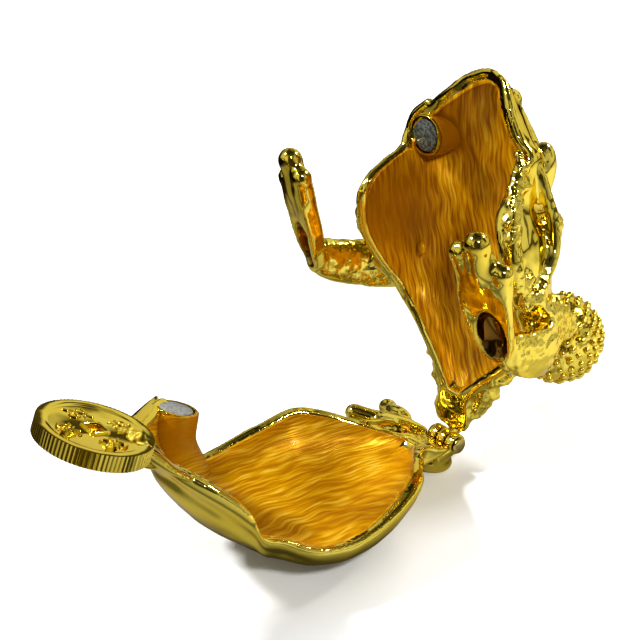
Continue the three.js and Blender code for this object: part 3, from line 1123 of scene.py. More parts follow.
@dataclass(frozen=True)
class Foot:
    """A foot with a palm and ball-tipped toes, lying along the floor from its heel."""

    toes: tuple[Toe, ...]
    length: float
    thick: float = 1.55
    rib: float = 0.46
    sole_edge: float = 0.62
    ribs: tuple[Spot, ...] = (
        (-2.4, -2.4, 15.4), (-1.3, -1.2, 16.6), (-0.2, 0.1, 16.4), (0.9, 1.2, 15.6), (2.0, 2.3, 13.4),
    )
    lumps: tuple[tuple[float, float], ...] = (
        (-1.9, 10.2), (-0.8, 12.6), (0.4, 10.9), (1.5, 12.1), (-1.8, 13.4), (0.6, 14.2), (1.6, 9.6),
    )

    hollow: Spot = (0.1, 3.5, -0.2)
    hollow_half: Spot = (2.3, 4.3, 2.6)

    def palm(self) -> Piece:
        """The palm from the heel to the roots of the toes.

        Returns:
            The palm.
        """
        thick, high = self.thick, self.thick + 0.3
        if self.length <= 12:
            line = [(0, -1.2, thick), (0, 2, thick), (-0.3, 6.5, thick)]
            sections = [(1.2, 0.9), (2.6, thick), (3.3, thick)]
        else:
            line = [(0, -1.2, thick), (0, 2, thick), (-0.2, 6.5, high), (-0.1, 10.5, high),
                    (-0.5, 14.2, high), (-1.3, 17.6, high)]
            sections = [(1.4, 1), (2.8, 1.4), (3.5, 1.4), (3.7, 1.35), (3.4, 1.2), (2.5, 1.1)]
        return limb(spots(line), sections)

    def digits(self) -> list[Piece]:
        """The toes with their balls.

        Returns:
            A stalk and a ball for each toe.
        """
        thick = self.thick
        made = []
        for toe in self.toes:
            ball = thick * toe.size
            half = ((toe.root + toe.tip) / 2, (toe.start + toe.reach) / 2, thick)
            made.append(limb(
                spots(((toe.root, toe.start, thick), half, (toe.tip, toe.reach, thick))),
                [(thick, thick * 1.1), *rounds(thick, ball * 0.97, ball * 0.94)],
                across=(0, 0, 1),
            ))
            along = Vector((toe.tip - toe.root, -(toe.reach - toe.start), 0)).normalized() * ball * 0.6
            middle = spot(toe.tip, toe.reach, thick) + along
            made.append(ellipsoid(middle, (ball, ball * 1.12, ball)))
        return made

    def sole(self) -> list[Piece]:
        """The raised edge round the sole, its lengthwise ribs, and the lip of the heel's hollow.

        Returns:
            Everything raised on the sole.
        """
        edge, rib, low = self.sole_edge, self.rib, 0.5
        outer = spots(((1.6, -0.6, low), (2.7, 2.4, low), (3.3, 6.6, low), (3.5, 10.4, low),
                       (3.2, 13.6, low + 0.2)))
        inner = spots(((-1.6, -0.6, low), (-2.7, 2.4, low), (-3.4, 6.6, low), (-3.5, 11, low),
                       (-2.9, 15, low + 0.2)))
        made = [cord(outer, edge), cord(inner, edge)]
        for number, (start, end, reach) in enumerate(self.ribs):
            bend = 0.35 if number % 2 else -0.3
            line = ((start, 8.5, low), ((start + end) / 2 + bend, (8.5 + reach) / 2, low - 0.1),
                    (end, reach, low + 0.1))
            made.append(cord(spots(line), rib * (0.85 + 0.12 * (number % 3))))
        for x, ahead in self.lumps:
            made.append(ellipsoid(spot(x, ahead, low), (0.5, 0.75, 0.5), detail=16))
        turns = np.linspace(0, 2 * np.pi, 14)
        ring = [spot(2.4 * math.sin(turn), 3.5 + 4.6 * math.cos(turn), low - 0.05) for turn in turns]
        made.append(limb(ring, rounds(0.42, 0.42, 0.42), across=(0, 0, 1), sides=10, steps=60))
        return made

    def pit(self, side: int, pose: Matrix) -> Piece:
        """The deep hollow in the heel, as a solid to be cut out.

        Args:
            side: 1 for the toad's left, -1 for its right.
            pose: Where the heel stands.

        Returns:
            The solid.
        """
        tool = ellipsoid(spot(*self.hollow), self.hollow_half)
        tool.data.transform(pose @ mirrored(side))
        face_out(tool)
        return tool

    def build(self, side: int, pose: Matrix, worked: bool) -> Piece:
        """The foot in its place.

        Args:
            side: 1 for the toad's left, -1 for its right.
            pose: Where the heel stands.
            worked: Whether the sole has its edge, ribs and lumps.

        Returns:
            The foot.
        """
        pieces = [self.palm(), *self.digits()]
        if worked:
            pieces += self.sole()
        foot = fused("foot", pieces, 0.25, 1)
        foot.data.transform(pose @ mirrored(side))
        face_out(foot)
        return foot


@dataclass(frozen=True)
class FrontLeg:
    """One front leg of the lid."""

    side: int
    heel: float = 26.2
    out: float = 19.6
    roll: float = 16.0
    clearance: float = 0.8
    foot: Foot = Foot(
        toes=(Toe(-1.7, 8, -2.8, 15.5, 1.06), Toe(-0.3, 8, -0.1, 17.1, 1.22), Toe(1.6, 7, 2.9, 12.9, 0.98)),
        length=19.4,
    )

    def line(self) -> list[Vector]:
        """Shoulder to wrist.

        Returns:
            Places on its middle line.
        """
        ahead, out = self.heel, self.out
        return spots(((12.5, 25, 7), (out - 3.6, ahead - 2.8, 2.2), (out - 0.9, ahead - 2.2, -3),
                      (out + 0.1, ahead - 0.8, -7.6), (out + 0.6, ahead + 0.8, -10.6)), self.side)

    def pose(self) -> Matrix:
        """Where the heel stands: level with the floor when the box is shut, and rolled out.

        Returns:
            The heel's pose.
        """
        pitch = math.radians(STANCE.pitch)
        up = STANCE.floor_under(self.heel) + self.clearance / math.cos(pitch)
        return (
            Matrix.Translation(spot(self.side * self.out, self.heel, up))
            @ Matrix.Rotation(pitch, 4, "X")
            @ Matrix.Rotation(math.radians(-self.side * self.roll), 4, "Y")
        )

    def pit(self) -> Piece:
        """The hollow in its heel."""
        return self.foot.pit(self.side, self.pose())

    def build(self) -> list[Piece]:
        """Arm and foot.

        Returns:
            The pieces, still to be cast into one skin.
        """
        sizes = [(2.2, 3.6), (2.3, 4), (1.9, 3.7), (1.8, 3.3), (1.8, 2.6)]
        arm = limb(self.line(), sizes)
        sinews = []
        for share in (-0.85, -0.45, 0, 0.42, 0.82):
            stations = [
                point + spot(self.side * wide * math.sqrt(1 - share ** 2), share * deep, 0)
                for point, (wide, deep) in zip(self.line(), sizes)
            ]
            sinews.append(cord(stations, 0.72))
        return [arm, *sinews, self.foot.build(self.side, self.pose(), True)]


BASE_SHELL = Shell(
    rim=LOWER_LIPS,
    spine=((0, -2.5), (8, -5.5), (16, -10.5), (20, -12.5), (24, -13.7), (28, -14.2), (34, -14), (42, -13.3),
           (50, -11), (56, -7), (60, -3)),
    way=Way.BELOW,
    brim=0.4,
    brim_from=43.0,
    near_brim=2.2,
    flute=0.85,
)
LID_SHELL = Shell(
    rim=UPPER_LIPS,
    spine=((0, 2.6), (6, 5.4), (14, 9.4), (22, 11.2), (32, 11.6), (40, 11), (47, 10.4), (53, 9.2), (57, 7.5),
           (60, 5)),
    way=Way.ABOVE,
    brim=0.5,
    brim_from=49.0,
)


def closest(piece: Piece, target: Piece) -> np.ndarray:
    """For each vertex the nearest place on the target, which is deleted.

    Args:
        piece: Whose vertices they are.
        target: The surface.

    Returns:
        One row for each vertex.
    """
    surface = target.evaluated_get(bpy.context.evaluated_depsgraph_get())
    away = np.array([surface.closest_point_on_mesh(Vector(row))[1][:] for row in corners(piece)])
    bpy.data.objects.remove(target)
    return away


def settle(piece: Piece, target: Piece) -> None:
    """Draws the skin onto a clean surface wherever it already lies close to it.

    Args:
        piece: The cast skin.
        target: The clean surface, which is deleted.
    """
    rows, away = corners(piece), closest(piece, target)
    distance = np.linalg.norm(away - rows, axis=1)
    pull = np.clip((SETTLE_REACH - distance) / (SETTLE_REACH / 2), 0, 1)[:, None]
    reshape(piece, rows + (away - rows) * pull)


def outward(piece: Piece) -> np.ndarray:
    """How far each vertex faces away from the middle of the box, from -1 to 1.

    Args:
        piece: Whose vertices they are.

    Returns:
        One value for each vertex.
    """
    normals = np.empty(len(piece.data.vertices) * 3)
    piece.data.vertex_normals.foreach_get("vector", normals)
    outwards = corners(piece) - np.array(spot(0, 31, 0))
    return np.sum(normals.reshape(-1, 3) * outwards, axis=1) / np.linalg.norm(outwards, axis=1)


def uneven(piece: Piece, size: float, height: float) -> None:
    """Gives the outside of a cast skin long low swellings, so that its reflections flow."""
    weigh(piece, "outside", outward(piece) * 2)
    swollen(piece, size, height, "outside")


def one_piece(piece: Piece) -> Piece:
    """Drops what a cut left hanging loose.

    Args:
        piece: The cast skin.

    Returns:
        Its largest connected part, under the same name.
    """
    name = piece.name
    pick(piece)
    bpy.ops.mesh.separate(type="LOOSE")
    parts = sorted(bpy.context.selected_objects, key=lambda part: len(part.data.vertices))
    for crumb in parts[:-1]:
        bpy.data.objects.remove(crumb)
    parts[-1].name = name
    return parts[-1]


def grained(piece: Piece, weights: np.ndarray, size: float, height: float) -> None:
    """Raises a granular skin where the weights say.

    Args:
        piece: The cast skin.
        weights: One weight a vertex.
        size: Spacing of the grains.
        height: Their height.
    """
    weigh(piece, "grain", weights)
    cells = bpy.data.textures.new("grains", "VORONOI")
    cells.noise_scale = size
    cells.noise_intensity = 1.0
    apply(piece, "DISPLACE", texture=cells, texture_coords="LOCAL", vertex_group="grain",
          strength=-height, mid_level=0.35, direction="NORMAL")


def place(piece: Piece, pose: Matrix, body: str, slot: str, finish: Material,
          node: str | None = None) -> None:
    """Puts a finished piece in its place and dresses it.

    Args:
        piece: The piece, in millimetres round the hinge.
        pose: Where its casting stands.
        body: What it moves with.
        slot: The record's slot of its finish; not used.
        finish: Its material.
        node: The CAD node it stands for.
    """
    piece.data.transform(pose)
    piece.data.materials.clear()
    piece.data.materials.append(finish)
    pick(piece)
    bpy.ops.object.shade_smooth_by_angle(angle=math.radians(SMOOTH_UP_TO))
    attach(piece, body)
    if node:
        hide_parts(node)
    LOG.info("%s: %d faces on %s", piece.name, len(piece.data.polygons), body)


def plug(tree: Tree, kind: str, **values: object) -> bpy.types.Node:
    """Adds a node and sets its inputs and settings.

    Args:
        tree: Where it goes.
        kind: The node's type, without its prefix.
        values: Settings by name; an input's name has its spaces as underscores.

    Returns:
        The node.
    """
    node = tree.nodes.new(f"ShaderNode{kind}")
    for name, value in values.items():
        socket = name.replace("_", " ")
        if socket in node.inputs and not hasattr(node, name):
            if isinstance(value, Socket):
                tree.links.new(value, node.inputs[socket])
            else:
                node.inputs[socket].default_value = value
        else:
            setattr(node, name, value)
    return node


def link(tree: Tree, source: Socket, target: Socket) -> None:
    """Joins two sockets."""
    tree.links.new(source, target)


def ramp(tree: Tree, factor: Socket,
         stops: Sequence[tuple[float, tuple[float, ...]]]) -> Socket:
    """A colour ramp with these stops.

    Args:
        tree: Where it goes.
        factor: What it reads.
        stops: Place and colour of each stop.

    Returns:
        Its colour.
    """
    node = tree.nodes.new("ShaderNodeValToRGB")
    while len(node.color_ramp.elements) < len(stops):
        node.color_ramp.elements.new(0.5)
    for element, (at, colour) in zip(node.color_ramp.elements, stops):
        element.position = at
        element.color = (*colour[:3], 1)
    link(tree, factor, node.inputs["Fac"])
    return node.outputs["Color"]


def arithmetic(tree: Tree, kind: str, operation: str, *operands: object) -> bpy.types.Node:
    """Adds a step of arithmetic.

    Args:
        tree: Where it goes.
        kind: Math or VectorMath.
        operation: What it does.
        operands: Sockets or plain values, in order.

    Returns:
        The node.
    """
    node = plug(tree, kind, operation=operation)
    for target, operand in zip(node.inputs, operands):
        if isinstance(operand, Socket):
            link(tree, operand, target)
        else:
            target.default_value = operand
    return node


def grouped(tree: Tree, group: Tree, where: Socket) -> bpy.types.Node:
    """Adds a shared group that reads these coordinates.

    Args:
        tree: Where it goes.
        group: The shared group.
        where: The coordinates.

    Returns:
        The node.
    """
    node = tree.nodes.new("ShaderNodeGroup")
    node.node_tree = group
    link(tree, where, node.inputs["Vector"])
    return node


def greys(stops: Sequence[tuple[float, float]]) -> list[tuple[float, tuple[float, ...]]]:
    """Stops of grey for a colour ramp, from places and levels."""
    return [(at, (level,) * 3) for at, level in stops]


def masked(tree: Tree, name: str) -> Socket:
    """The weight that a piece keeps under this name."""
    return plug(tree, "Attribute", attribute_name=f"{name}_mask").outputs["Fac"]


def multiplied(tree: Tree, shades: Sequence[Socket]) -> Socket:
    """Several colours multiplied together.

    Args:
        tree: Where it goes.
        shades: The colours.

    Returns:
        The product.
    """
    whole = shades[0]
    for shade in shades[1:]:
        both = plug(tree, "Mix", data_type="RGBA", blend_type="MULTIPLY")
        both.inputs["Factor"].default_value = 1.0
        link(tree, whole, both.inputs["A"])
        link(tree, shade, both.inputs["B"])
        whole = both.outputs["Result"]
    return whole


def blended(tree: Tree, factor: Socket, first: Socket,
            second: Shade) -> Socket:
    """A colour that gives way to a plain one as the factor rises.

    Args:
        tree: Where it goes.
        factor: What blends them.
        first: The colour at 0.
        second: The plain colour at 1.

    Returns:
        The blend.
    """
    mix = plug(tree, "Mix", data_type="RGBA")
    link(tree, factor, mix.inputs["Factor"])
    link(tree, first, mix.inputs["A"])
    mix.inputs["B"].default_value = (*second, 1)
    return mix.outputs["Result"]


def relieved(tree: Tree, height: Socket, shader: bpy.types.Node, strength: float,
             distance: float) -> None:
    """Gives a shader this height as its relief.

    Args:
        tree: Where it goes.
        height: The relief.
        shader: What it is given to.
        strength: How strongly it shows.
        distance: How high it stands, in metres.
    """
    bump = plug(tree, "Bump", Strength=strength, Distance=distance)
    link(tree, height, bump.inputs["Height"])
    link(tree, bump.outputs["Normal"], shader.inputs["Normal"])


def started(name: str, **values: object) -> tuple[Material, Tree, bpy.types.Node]:
    """Starts a material.

    Args:
        name: The material's name.
        values: Plain values of its shader, with spaces as underscores.

    Returns:
        The material, its nodes and its shader.
    """
    material = bpy.data.materials.new(name)
    material.use_nodes = True
    shader = material.node_tree.nodes["Principled BSDF"]
    for socket_name, value in values.items():
        shader.inputs[socket_name.replace("_", " ")].default_value = value
    return material, material.node_tree, shader


def socket(group: Tree, name: str, way: str, kind: str, value: object = None) -> None:
    """Adds a named socket to a node group.

    Args:
        group: The node group.
        name: The socket's name.
        way: INPUT or OUTPUT.
        kind: Its type.
        value: Its value while nothing is joined to it.
    """
    made = group.interface.new_socket(name=name, in_out=way, socket_type=f"NodeSocket{kind}")
    if value is not None:
        made.default_value = value


def cast_relief() -> Tree:
    """The unevenness of cast, plated metal: long soft ripples, and grain where the skin is worked.

    Returns:
        A node group that puts out a height.
    """
    group = bpy.data.node_groups.new("cast_relief", "ShaderNodeTree")
    socket(group, "Vector", "INPUT", "Vector")
    socket(group, "Ripple", "INPUT", "Float", 0.3)
    socket(group, "Grain", "INPUT", "Float", 0.0)
    socket(group, "Height", "OUTPUT", "Float")
    ins, outs = group.nodes.new("NodeGroupInput"), group.nodes.new("NodeGroupOutput")
    ripple = plug(group, "TexNoise", Vector=ins.outputs["Vector"], Scale=260.0, Detail=1.5, Roughness=0.4)
    grain = plug(group, "TexVoronoi", Vector=ins.outputs["Vector"], Scale=1500.0, Randomness=1.0)
    fine = plug(group, "TexNoise", Vector=ins.outputs["Vector"], Scale=2600.0, Detail=2.0)
    rough = arithmetic(group, "Math", "SUBTRACT", fine.outputs["Fac"], grain.outputs["Distance"])
    soft = arithmetic(group, "Math", "MULTIPLY", ripple.outputs["Fac"], ins.outputs["Ripple"])
    worked = arithmetic(group, "Math", "MULTIPLY", ins.outputs["Grain"], 0.45)
    total = arithmetic(group, "Math", "MULTIPLY_ADD", rough.outputs[0], worked.outputs[0], soft.outputs[0])
    link(group, total.outputs[0], outs.inputs["Height"])
    return group


def pearl_flow() -> Tree:
    """Pearl enamel that was brushed lengthwise: fine wavy strokes over slow changes of tone.

    Returns:
        A node group that puts out the strokes, the clouds and a height.
    """
    group = bpy.data.node_groups.new("pearl_flow", "ShaderNodeTree")
    socket(group, "Vector", "INPUT", "Vector")
    socket(group, "Scale", "INPUT", "Float", 1.0)
    for name in ("Strokes", "Clouds", "Height"):
        socket(group, name, "OUTPUT", "Float")
    ins, outs = group.nodes.new("NodeGroupInput"), group.nodes.new("NodeGroupOutput")
    scaled = plug(group, "VectorMath", operation="SCALE")
    link(group, ins.outputs["Vector"], scaled.inputs[0])
    link(group, ins.outputs["Scale"], scaled.inputs["Scale"])
    warp = plug(group, "TexNoise", Vector=scaled.outputs[0], Scale=230.0, Detail=0.0)
    bent = arithmetic(group, "VectorMath", "MULTIPLY_ADD", warp.outputs["Color"], (0.0009, 0.0009, 0.0),
                      scaled.outputs[0])
    long = plug(group, "Mapping", vector_type="POINT", Vector=bent.outputs[0], Scale=(1.0, 0.085, 0.0))
    total = 0.0
    for scale, weight in ((600.0, 0.16), (1900.0, 0.4), (3900.0, 0.44)):
        layer = plug(group, "TexNoise", Vector=long.outputs[0], Scale=scale, Detail=0.0)
        crisp = plug(group, "MapRange", interpolation_type="SMOOTHSTEP", Value=layer.outputs["Fac"],
                     From_Min=0.36, From_Max=0.64)
        total = arithmetic(group, "Math", "MULTIPLY_ADD", crisp.outputs["Result"], weight, total).outputs[0]
    clouds = plug(group, "TexNoise", Vector=scaled.outputs[0], Scale=70.0, Detail=1.0, Roughness=0.4)
    link(group, total, outs.inputs["Strokes"])
    link(group, clouds.outputs["Fac"], outs.inputs["Clouds"])
    high = arithmetic(group, "Math", "MULTIPLY_ADD", total, 0.12, clouds.outputs["Fac"])
    link(group, high.outputs[0], outs.inputs["Height"])
    return group


@dataclass(frozen=True)
class Gilt:
    """Polished yellow gold plating over cast metal, with painted shade deep in the heels' hollows."""

    name: str
    groups: dict[str, Tree]
    pale: Shade = (0.84, 0.68, 0.105)
    deep: Shade = (0.77, 0.57, 0.055)
    # Brown that the gold gives way to deep in the heels' hollows: painted shade.
    pit_shade: Shade = (0.16, 0.075, 0.01)
    edge: Tint = (1.0, 0.86, 0.5, 1.0)
    roughness: float = 0.07
    haze: float = 0.03
    ripple: float = 0.5

    def build(self) -> Material:
        """The material.

        Returns:
            The finished material.
        """
        material, tree, metal = started(self.name, Metallic=1.0, Specular_Tint=self.edge)
        where = plug(tree, "TexCoord").outputs["Object"]
        mask = masked(tree, "grain")
        relief = grouped(tree, self.groups["cast_relief"], where)
        relief.inputs["Ripple"].default_value = self.ripple
        link(tree, mask, relief.inputs["Grain"])
        relieved(tree, relief.outputs["Height"], metal, 0.55, 0.0003)
        tone = plug(tree, "TexNoise", Vector=where, Scale=90.0, Detail=2.0)
        colour = ramp(tree, tone.outputs["Fac"], [(0.3, self.deep), (0.7, self.pale)])
        # Deep in the heels' hollows the gold gives way to a painted shade of brown.
        link(tree, blended(tree, masked(tree, "pit"), colour, self.pit_shade), metal.inputs["Base Color"])
        haze = plug(tree, "MapRange", Value=mask, From_Min=0.0, From_Max=1.0,
                    To_Min=self.roughness, To_Max=self.roughness + self.haze)
        link(tree, haze.outputs["Result"], metal.inputs["Roughness"])
        return material


@dataclass(frozen=True)
class PearlEnamel:
    """Glossy amber enamel with pearl in it, brushed along the body."""

    name: str
    groups: dict[str, Tree]
    lean: float
    dark: Shade
    middle: Shade
    bright: Shade
    milk: Shade
    roughness: float = 0.3
    pearl: float = 0.12
    gloss: float = 0.25
    gloss_tint: Tint = (1.0, 0.62, 0.12, 1.0)
    coat: float = 0.03
    coat_roughness: float = 0.03
    facing: float = 49.3
    lift: float = 27.7

    def brushed(self, tree: Tree) -> Socket:
        """Coordinates across and along the strokes, which were swept straight from the open mouth's side.

        Args:
            tree: Where it goes.

        Returns:
            The coordinates.
        """
        facing, lift, lean = math.radians(self.facing), math.radians(self.lift), math.radians(self.lean)
        level = Vector((math.cos(facing), math.sin(facing), 0))
        upright = Vector((
            -math.sin(facing) * math.sin(lift), math.cos(facing) * math.sin(lift), math.cos(lift)))
        along = level * math.cos(lean) + upright * math.sin(lean)
        across = upright * math.cos(lean) - level * math.sin(lean)
        turned = Matrix((across, along, across.cross(along))).to_euler("XYZ")
        return plug(tree, "Mapping", vector_type="POINT", Vector=plug(tree, "TexCoord").outputs["Object"],
                    Rotation=turned[:]).outputs[0]

    def build(self) -> Material:
        """The material.

        Returns:
            The finished material.
        """
        material, tree, glaze = started(
            self.name, Roughness=self.roughness, Metallic=self.pearl, Specular_IOR_Level=self.gloss,
            Specular_Tint=self.gloss_tint, Coat_Weight=self.coat, Coat_Roughness=self.coat_roughness)
        flow = grouped(tree, self.groups["pearl_flow"], self.brushed(tree))
        # Where this weight is high, the strokes give way to their darkest tone: smooth enamel with painted
        # shade.
        smooth_shade = plug(tree, "Mix", data_type="FLOAT")
        link(tree, masked(tree, "smooth_shade"), smooth_shade.inputs["Factor"])
        link(tree, flow.outputs["Strokes"], smooth_shade.inputs["A"])
        smooth_shade.inputs["B"].default_value = 0.12
        strokes = ramp(tree, smooth_shade.outputs["Result"], [
            (0.14, self.dark), (0.48, self.middle), (0.78, self.bright), (0.95, self.milk)])
        tone = ramp(tree, flow.outputs["Clouds"], [(0.36, (0.74, 0.7, 0.7)), (0.62, (1.12, 1.14, 1.14))])
        link(tree, multiplied(tree, [strokes, tone]), glaze.inputs["Base Color"])
        relieved(tree, flow.outputs["Height"], glaze, 0.4, 0.0008)
        return material


@dataclass(frozen=True)
class MagnetPlating:
    """Dull plated magnet with a speckled face."""

    name: str
    dark: Shade
    light: Shade
    speckle: float
    metallic: float = 0.45
    roughness: float = 0.42

    def build(self) -> Material:
        """The material.

        Returns:
            The finished material.
        """
        material, tree, metal = started(self.name, Metallic=self.metallic, Roughness=self.roughness)
        where = plug(tree, "TexCoord").outputs["Object"]
        grain = plug(tree, "TexNoise", Vector=where, Scale=2200.0, Detail=3.0, Roughness=0.7)
        colour = ramp(tree, grain.outputs["Fac"], [(0.42, self.dark), (0.62, self.light)])
        link(tree, colour, metal.inputs["Base Color"])
        relieved(tree, grain.outputs["Fac"], metal, self.speckle, 0.0002)
        return material


@dataclass(frozen=True)
class Finishes:
    """Every finish on the box."""

    gilt: Material
    pin: Material
    base_enamel: Material
    lid_enamel: Material
    base_magnet: Material
    lid_magnet: Material

    @classmethod
    def mixed(cls) -> "Finishes":
        """Builds them all from the two shared groups.

        Returns:
            All the finishes.
        """
        groups = {"cast_relief": cast_relief(), "pearl_flow": pearl_flow()}
        return cls(
            gilt=Gilt("gilt", groups).build(),
            pin=Gilt("pin_brass", groups, pale=(0.7, 0.55, 0.16), deep=(0.55, 0.42, 0.1), roughness=0.22,
                     ripple=0.2).build(),
            base_enamel=PearlEnamel(
                "amber_enamel_bright", groups, lean=17.0, dark=(0.37, 0.145, 0.001),
                middle=(0.47, 0.215, 0.001), bright=(0.57, 0.3, 0.003), milk=(0.66, 0.41, 0.03)).build(),
            lid_enamel=PearlEnamel(
                "amber_enamel_deep", groups, lean=-81.0, dark=(0.29, 0.105, 0.001),
                middle=(0.5, 0.21, 0.001), bright=(0.6, 0.285, 0.002), milk=(0.68, 0.4, 0.015)).build(),
            base_magnet=MagnetPlating("magnet_pale", (0.22, 0.22, 0.2), (0.42, 0.42, 0.4), 0.1).build(),
            # The lid's magnet is the same kind as the belly's; its darker colour is painted shade.
            lid_magnet=MagnetPlating("magnet_shaded", (0.02, 0.023, 0.02), (0.14, 0.15, 0.135), 0.8).build(),
        )


@dataclass(frozen=True)
class Belly:
    """The lower casting: bowl, lower jaw, coin, magnet post, hind foot, tail and outer knuckles."""

    finishes: Finishes
    shell: Shell = BASE_SHELL
    coin: Coin = Coin()
    grain: float = 0.275
    hind_foot: Foot = Foot(
        toes=(Toe(-1.6, 3.2, -7.7, 4.8, 0.9), Toe(0, 4, -1, 9.4, 0.95), Toe(1.7, 4.2, 4.8, 8.2, 0.9)),
        length=7.0,
    )
    hind_heel: Spot = (-4, 2.2, -1.9)
    hind_turn: float = -45.0
    granular: tuple[Patch, ...] = (
        ((-1.6, 3.4, -0.6), (2.4, 2.4, 1.8), 1), ((-6.5, 11, -5.5), (5, 5, 3.2), 0.6),
    )

    def lugs(self) -> list[Piece]:
        """What carries the two outer knuckles.

        Returns:
            One rod for each knuckle.
        """
        made = []
        for side in (-1, 1):
            x = side * HINGE.pitch
            half = HINGE.knuckle_length / 2
            made.append(limb([(x, 0, -HINGE.radius * 0.45), (x, -3.4, -2.8)], [(half, 1.1), (half, 1.4)],
                             steps=12))
        return made

    def casting(self) -> Piece:
        """The whole casting, in millimetres round the hinge.

        Returns:
            Its skin.
        """
        turned = Matrix.Rotation(math.radians(self.hind_turn), 4, "Z")
        pose = Matrix.Translation(spot(*self.hind_heel)) @ turned
        proud = fused("proud", [
            ellipsoid(spot(-1, 12.4, -5.1), (5.8, 6.6, 4.5)),
            ellipsoid(spot(-6.2, 9, -2.7), (3, 6.4, 2.5), (0, 0, -42)),
            ellipsoid(spot(-0.5, 1.3, -3.7), (3, 3.5, 2)),
            ellipsoid(spot(-9.4, 1.7, 0.1), (3.6, 1.7, 1.5), (0, -6, -14)),
            self.hind_foot.build(1, pose, False),
        ], self.grain, 0)
        cut(proud, self.shell.hollow_piece())
        tongue = ellipsoid(spot(0, 60.6, 1.4), (5, 2.3, 1.7), (8, 0, 0))
        neck = limb(spots(((0.2, 63.8, 3.65), (0.2, 61.5, 2.3), (0.2, 59.4, 1.1), (0.2, 57.4, 0.5))),
                    [(5.3, 0.95), (6.3, 1.25), (7.2, 1.0), (7.8, 0.6)])
        skin = fused("toad_base", [self.shell.wall_piece(), proud, tongue, neck], self.grain, 3)
        settle(skin, self.shell.wall_piece())
        uneven(skin, 6.0, 0.4)
        skin = one_piece(HINGE.carried(skin, self.lugs(), [0], self.grain))
        rows = corners(skin)
        weights = [near(rows, middle, half) * share for middle, half, share in self.granular]
        grained(skin, np.maximum.reduce(weights), 0.8, 0.3)
        return skin

    def post_line(self, below: float) -> list[Vector]:
        """Middle line of the magnet post, from so far below the magnet's face down into the bowl."""
        top = (MAGNETS.x, MAGNETS.forward, MAGNETS.face - below)
        return spots((top, (-10.9, 45.5, -3), (-8.6, 43, -8)))

    def post(self) -> Piece:
        """The gold core of the magnet post, with its pocket.

        Returns:
            The core.
        """
        radius = MAGNETS.post
        core = limb(self.post_line(0.02), rounds(radius, radius * 0.95, radius * 0.9), sides=48)
        rows = corners(core)
        rows[:, 2] = np.minimum(rows[:, 2], MAGNETS.face)
        reshape(core, rows)
        cut(core, MAGNETS.rod(MAGNETS.pocket, MAGNETS.face - MAGNETS.thickness - MAGNETS.clearance,
                              MAGNETS.face + 2), "EXACT")
        return core

    def flange(self) -> Piece:
        """The flat lip that runs from the coin to the magnet and ends in a point beyond it.

        Returns:
            The lip.
        """
        top = MAGNETS.face - 0.42
        return limb(
            spots(((-4.6, 58.6, top + 0.2), (-8, 55, top + 0.1), (-11.6, 50.6, top), (-14.2, 47.8, top + 0.1),
                   (-15.4, 46.6, top + 0.45))),
            [(1.1, 0.5), (1.5, 0.5), (1.4, 0.5), (0.9, 0.45), (0.25, 0.25)],
        )

    def at_floor(self, piece: Piece) -> None:
        """Cuts the casting off flat at the floor.

        Args:
            piece: The casting.
        """
        up = Matrix.Rotation(math.radians(STANCE.pitch), 4, "X") @ Vector((0, 0, 1))
        with opened(piece):
            bpy.ops.mesh.bisect(plane_co=up * -STANCE.hinge.z, plane_no=up, use_fill=True, clear_inner=True)

    def lining(self) -> Piece:
        """The enamel: the bowl's lining and the wrap round the post.

        Returns:
            The enamel as one piece.
        """
        radius = MAGNETS.post + 0.2
        wrap = limb(self.post_line(0.5), rounds(radius, radius, radius * 1.05), sides=48)
        within(wrap, self.shell.hollow_piece())
        mouth = MAGNETS.rod(MAGNETS.post - 0.1, MAGNETS.face - MAGNETS.lip_depth, MAGNETS.face + 1)
        cut(wrap, mouth, "EXACT")
        whole = joined("base_enamel", [self.shell.lining_piece(), wrap])
        # Smooth, darker enamel round the magnet post: painted shade.
        weigh(whole, "smooth_shade", near(corners(whole), (-10.9, 45.4, -1.5), (4, 4.2, 6)))
        return whole

    def build(self) -> None:
        """Builds and dresses the casting and what is fixed in it."""
        skin = self.casting()
        self.at_floor(skin)
        knuckles = [HINGE.knuckle(side * HINGE.pitch) for side in (-1, 1)]
        lip = MAGNETS.lip(MAGNETS.face, Way.BELOW)
        whole = joined("toad_base", [
            skin, self.post(), lip, self.flange(), self.coin.build(), *knuckles])
        pose, finishes = STANCE.base(), self.finishes
        place(whole, pose, "base", "gilt_metal", finishes.gilt, "base_casting")
        place(self.lining(), pose, "base", "enamel", finishes.base_enamel)
        disc = MAGNETS.disc("base_magnet_disc", MAGNETS.face, Way.BELOW)
        place(disc, pose, "base", "magnet", finishes.base_magnet, "base_magnet")
        pin = HINGE.pin()
        pin.name = "turned_pin"
        place(pin, pose, "base", "pin_metal", finishes.pin, "hinge_pin")


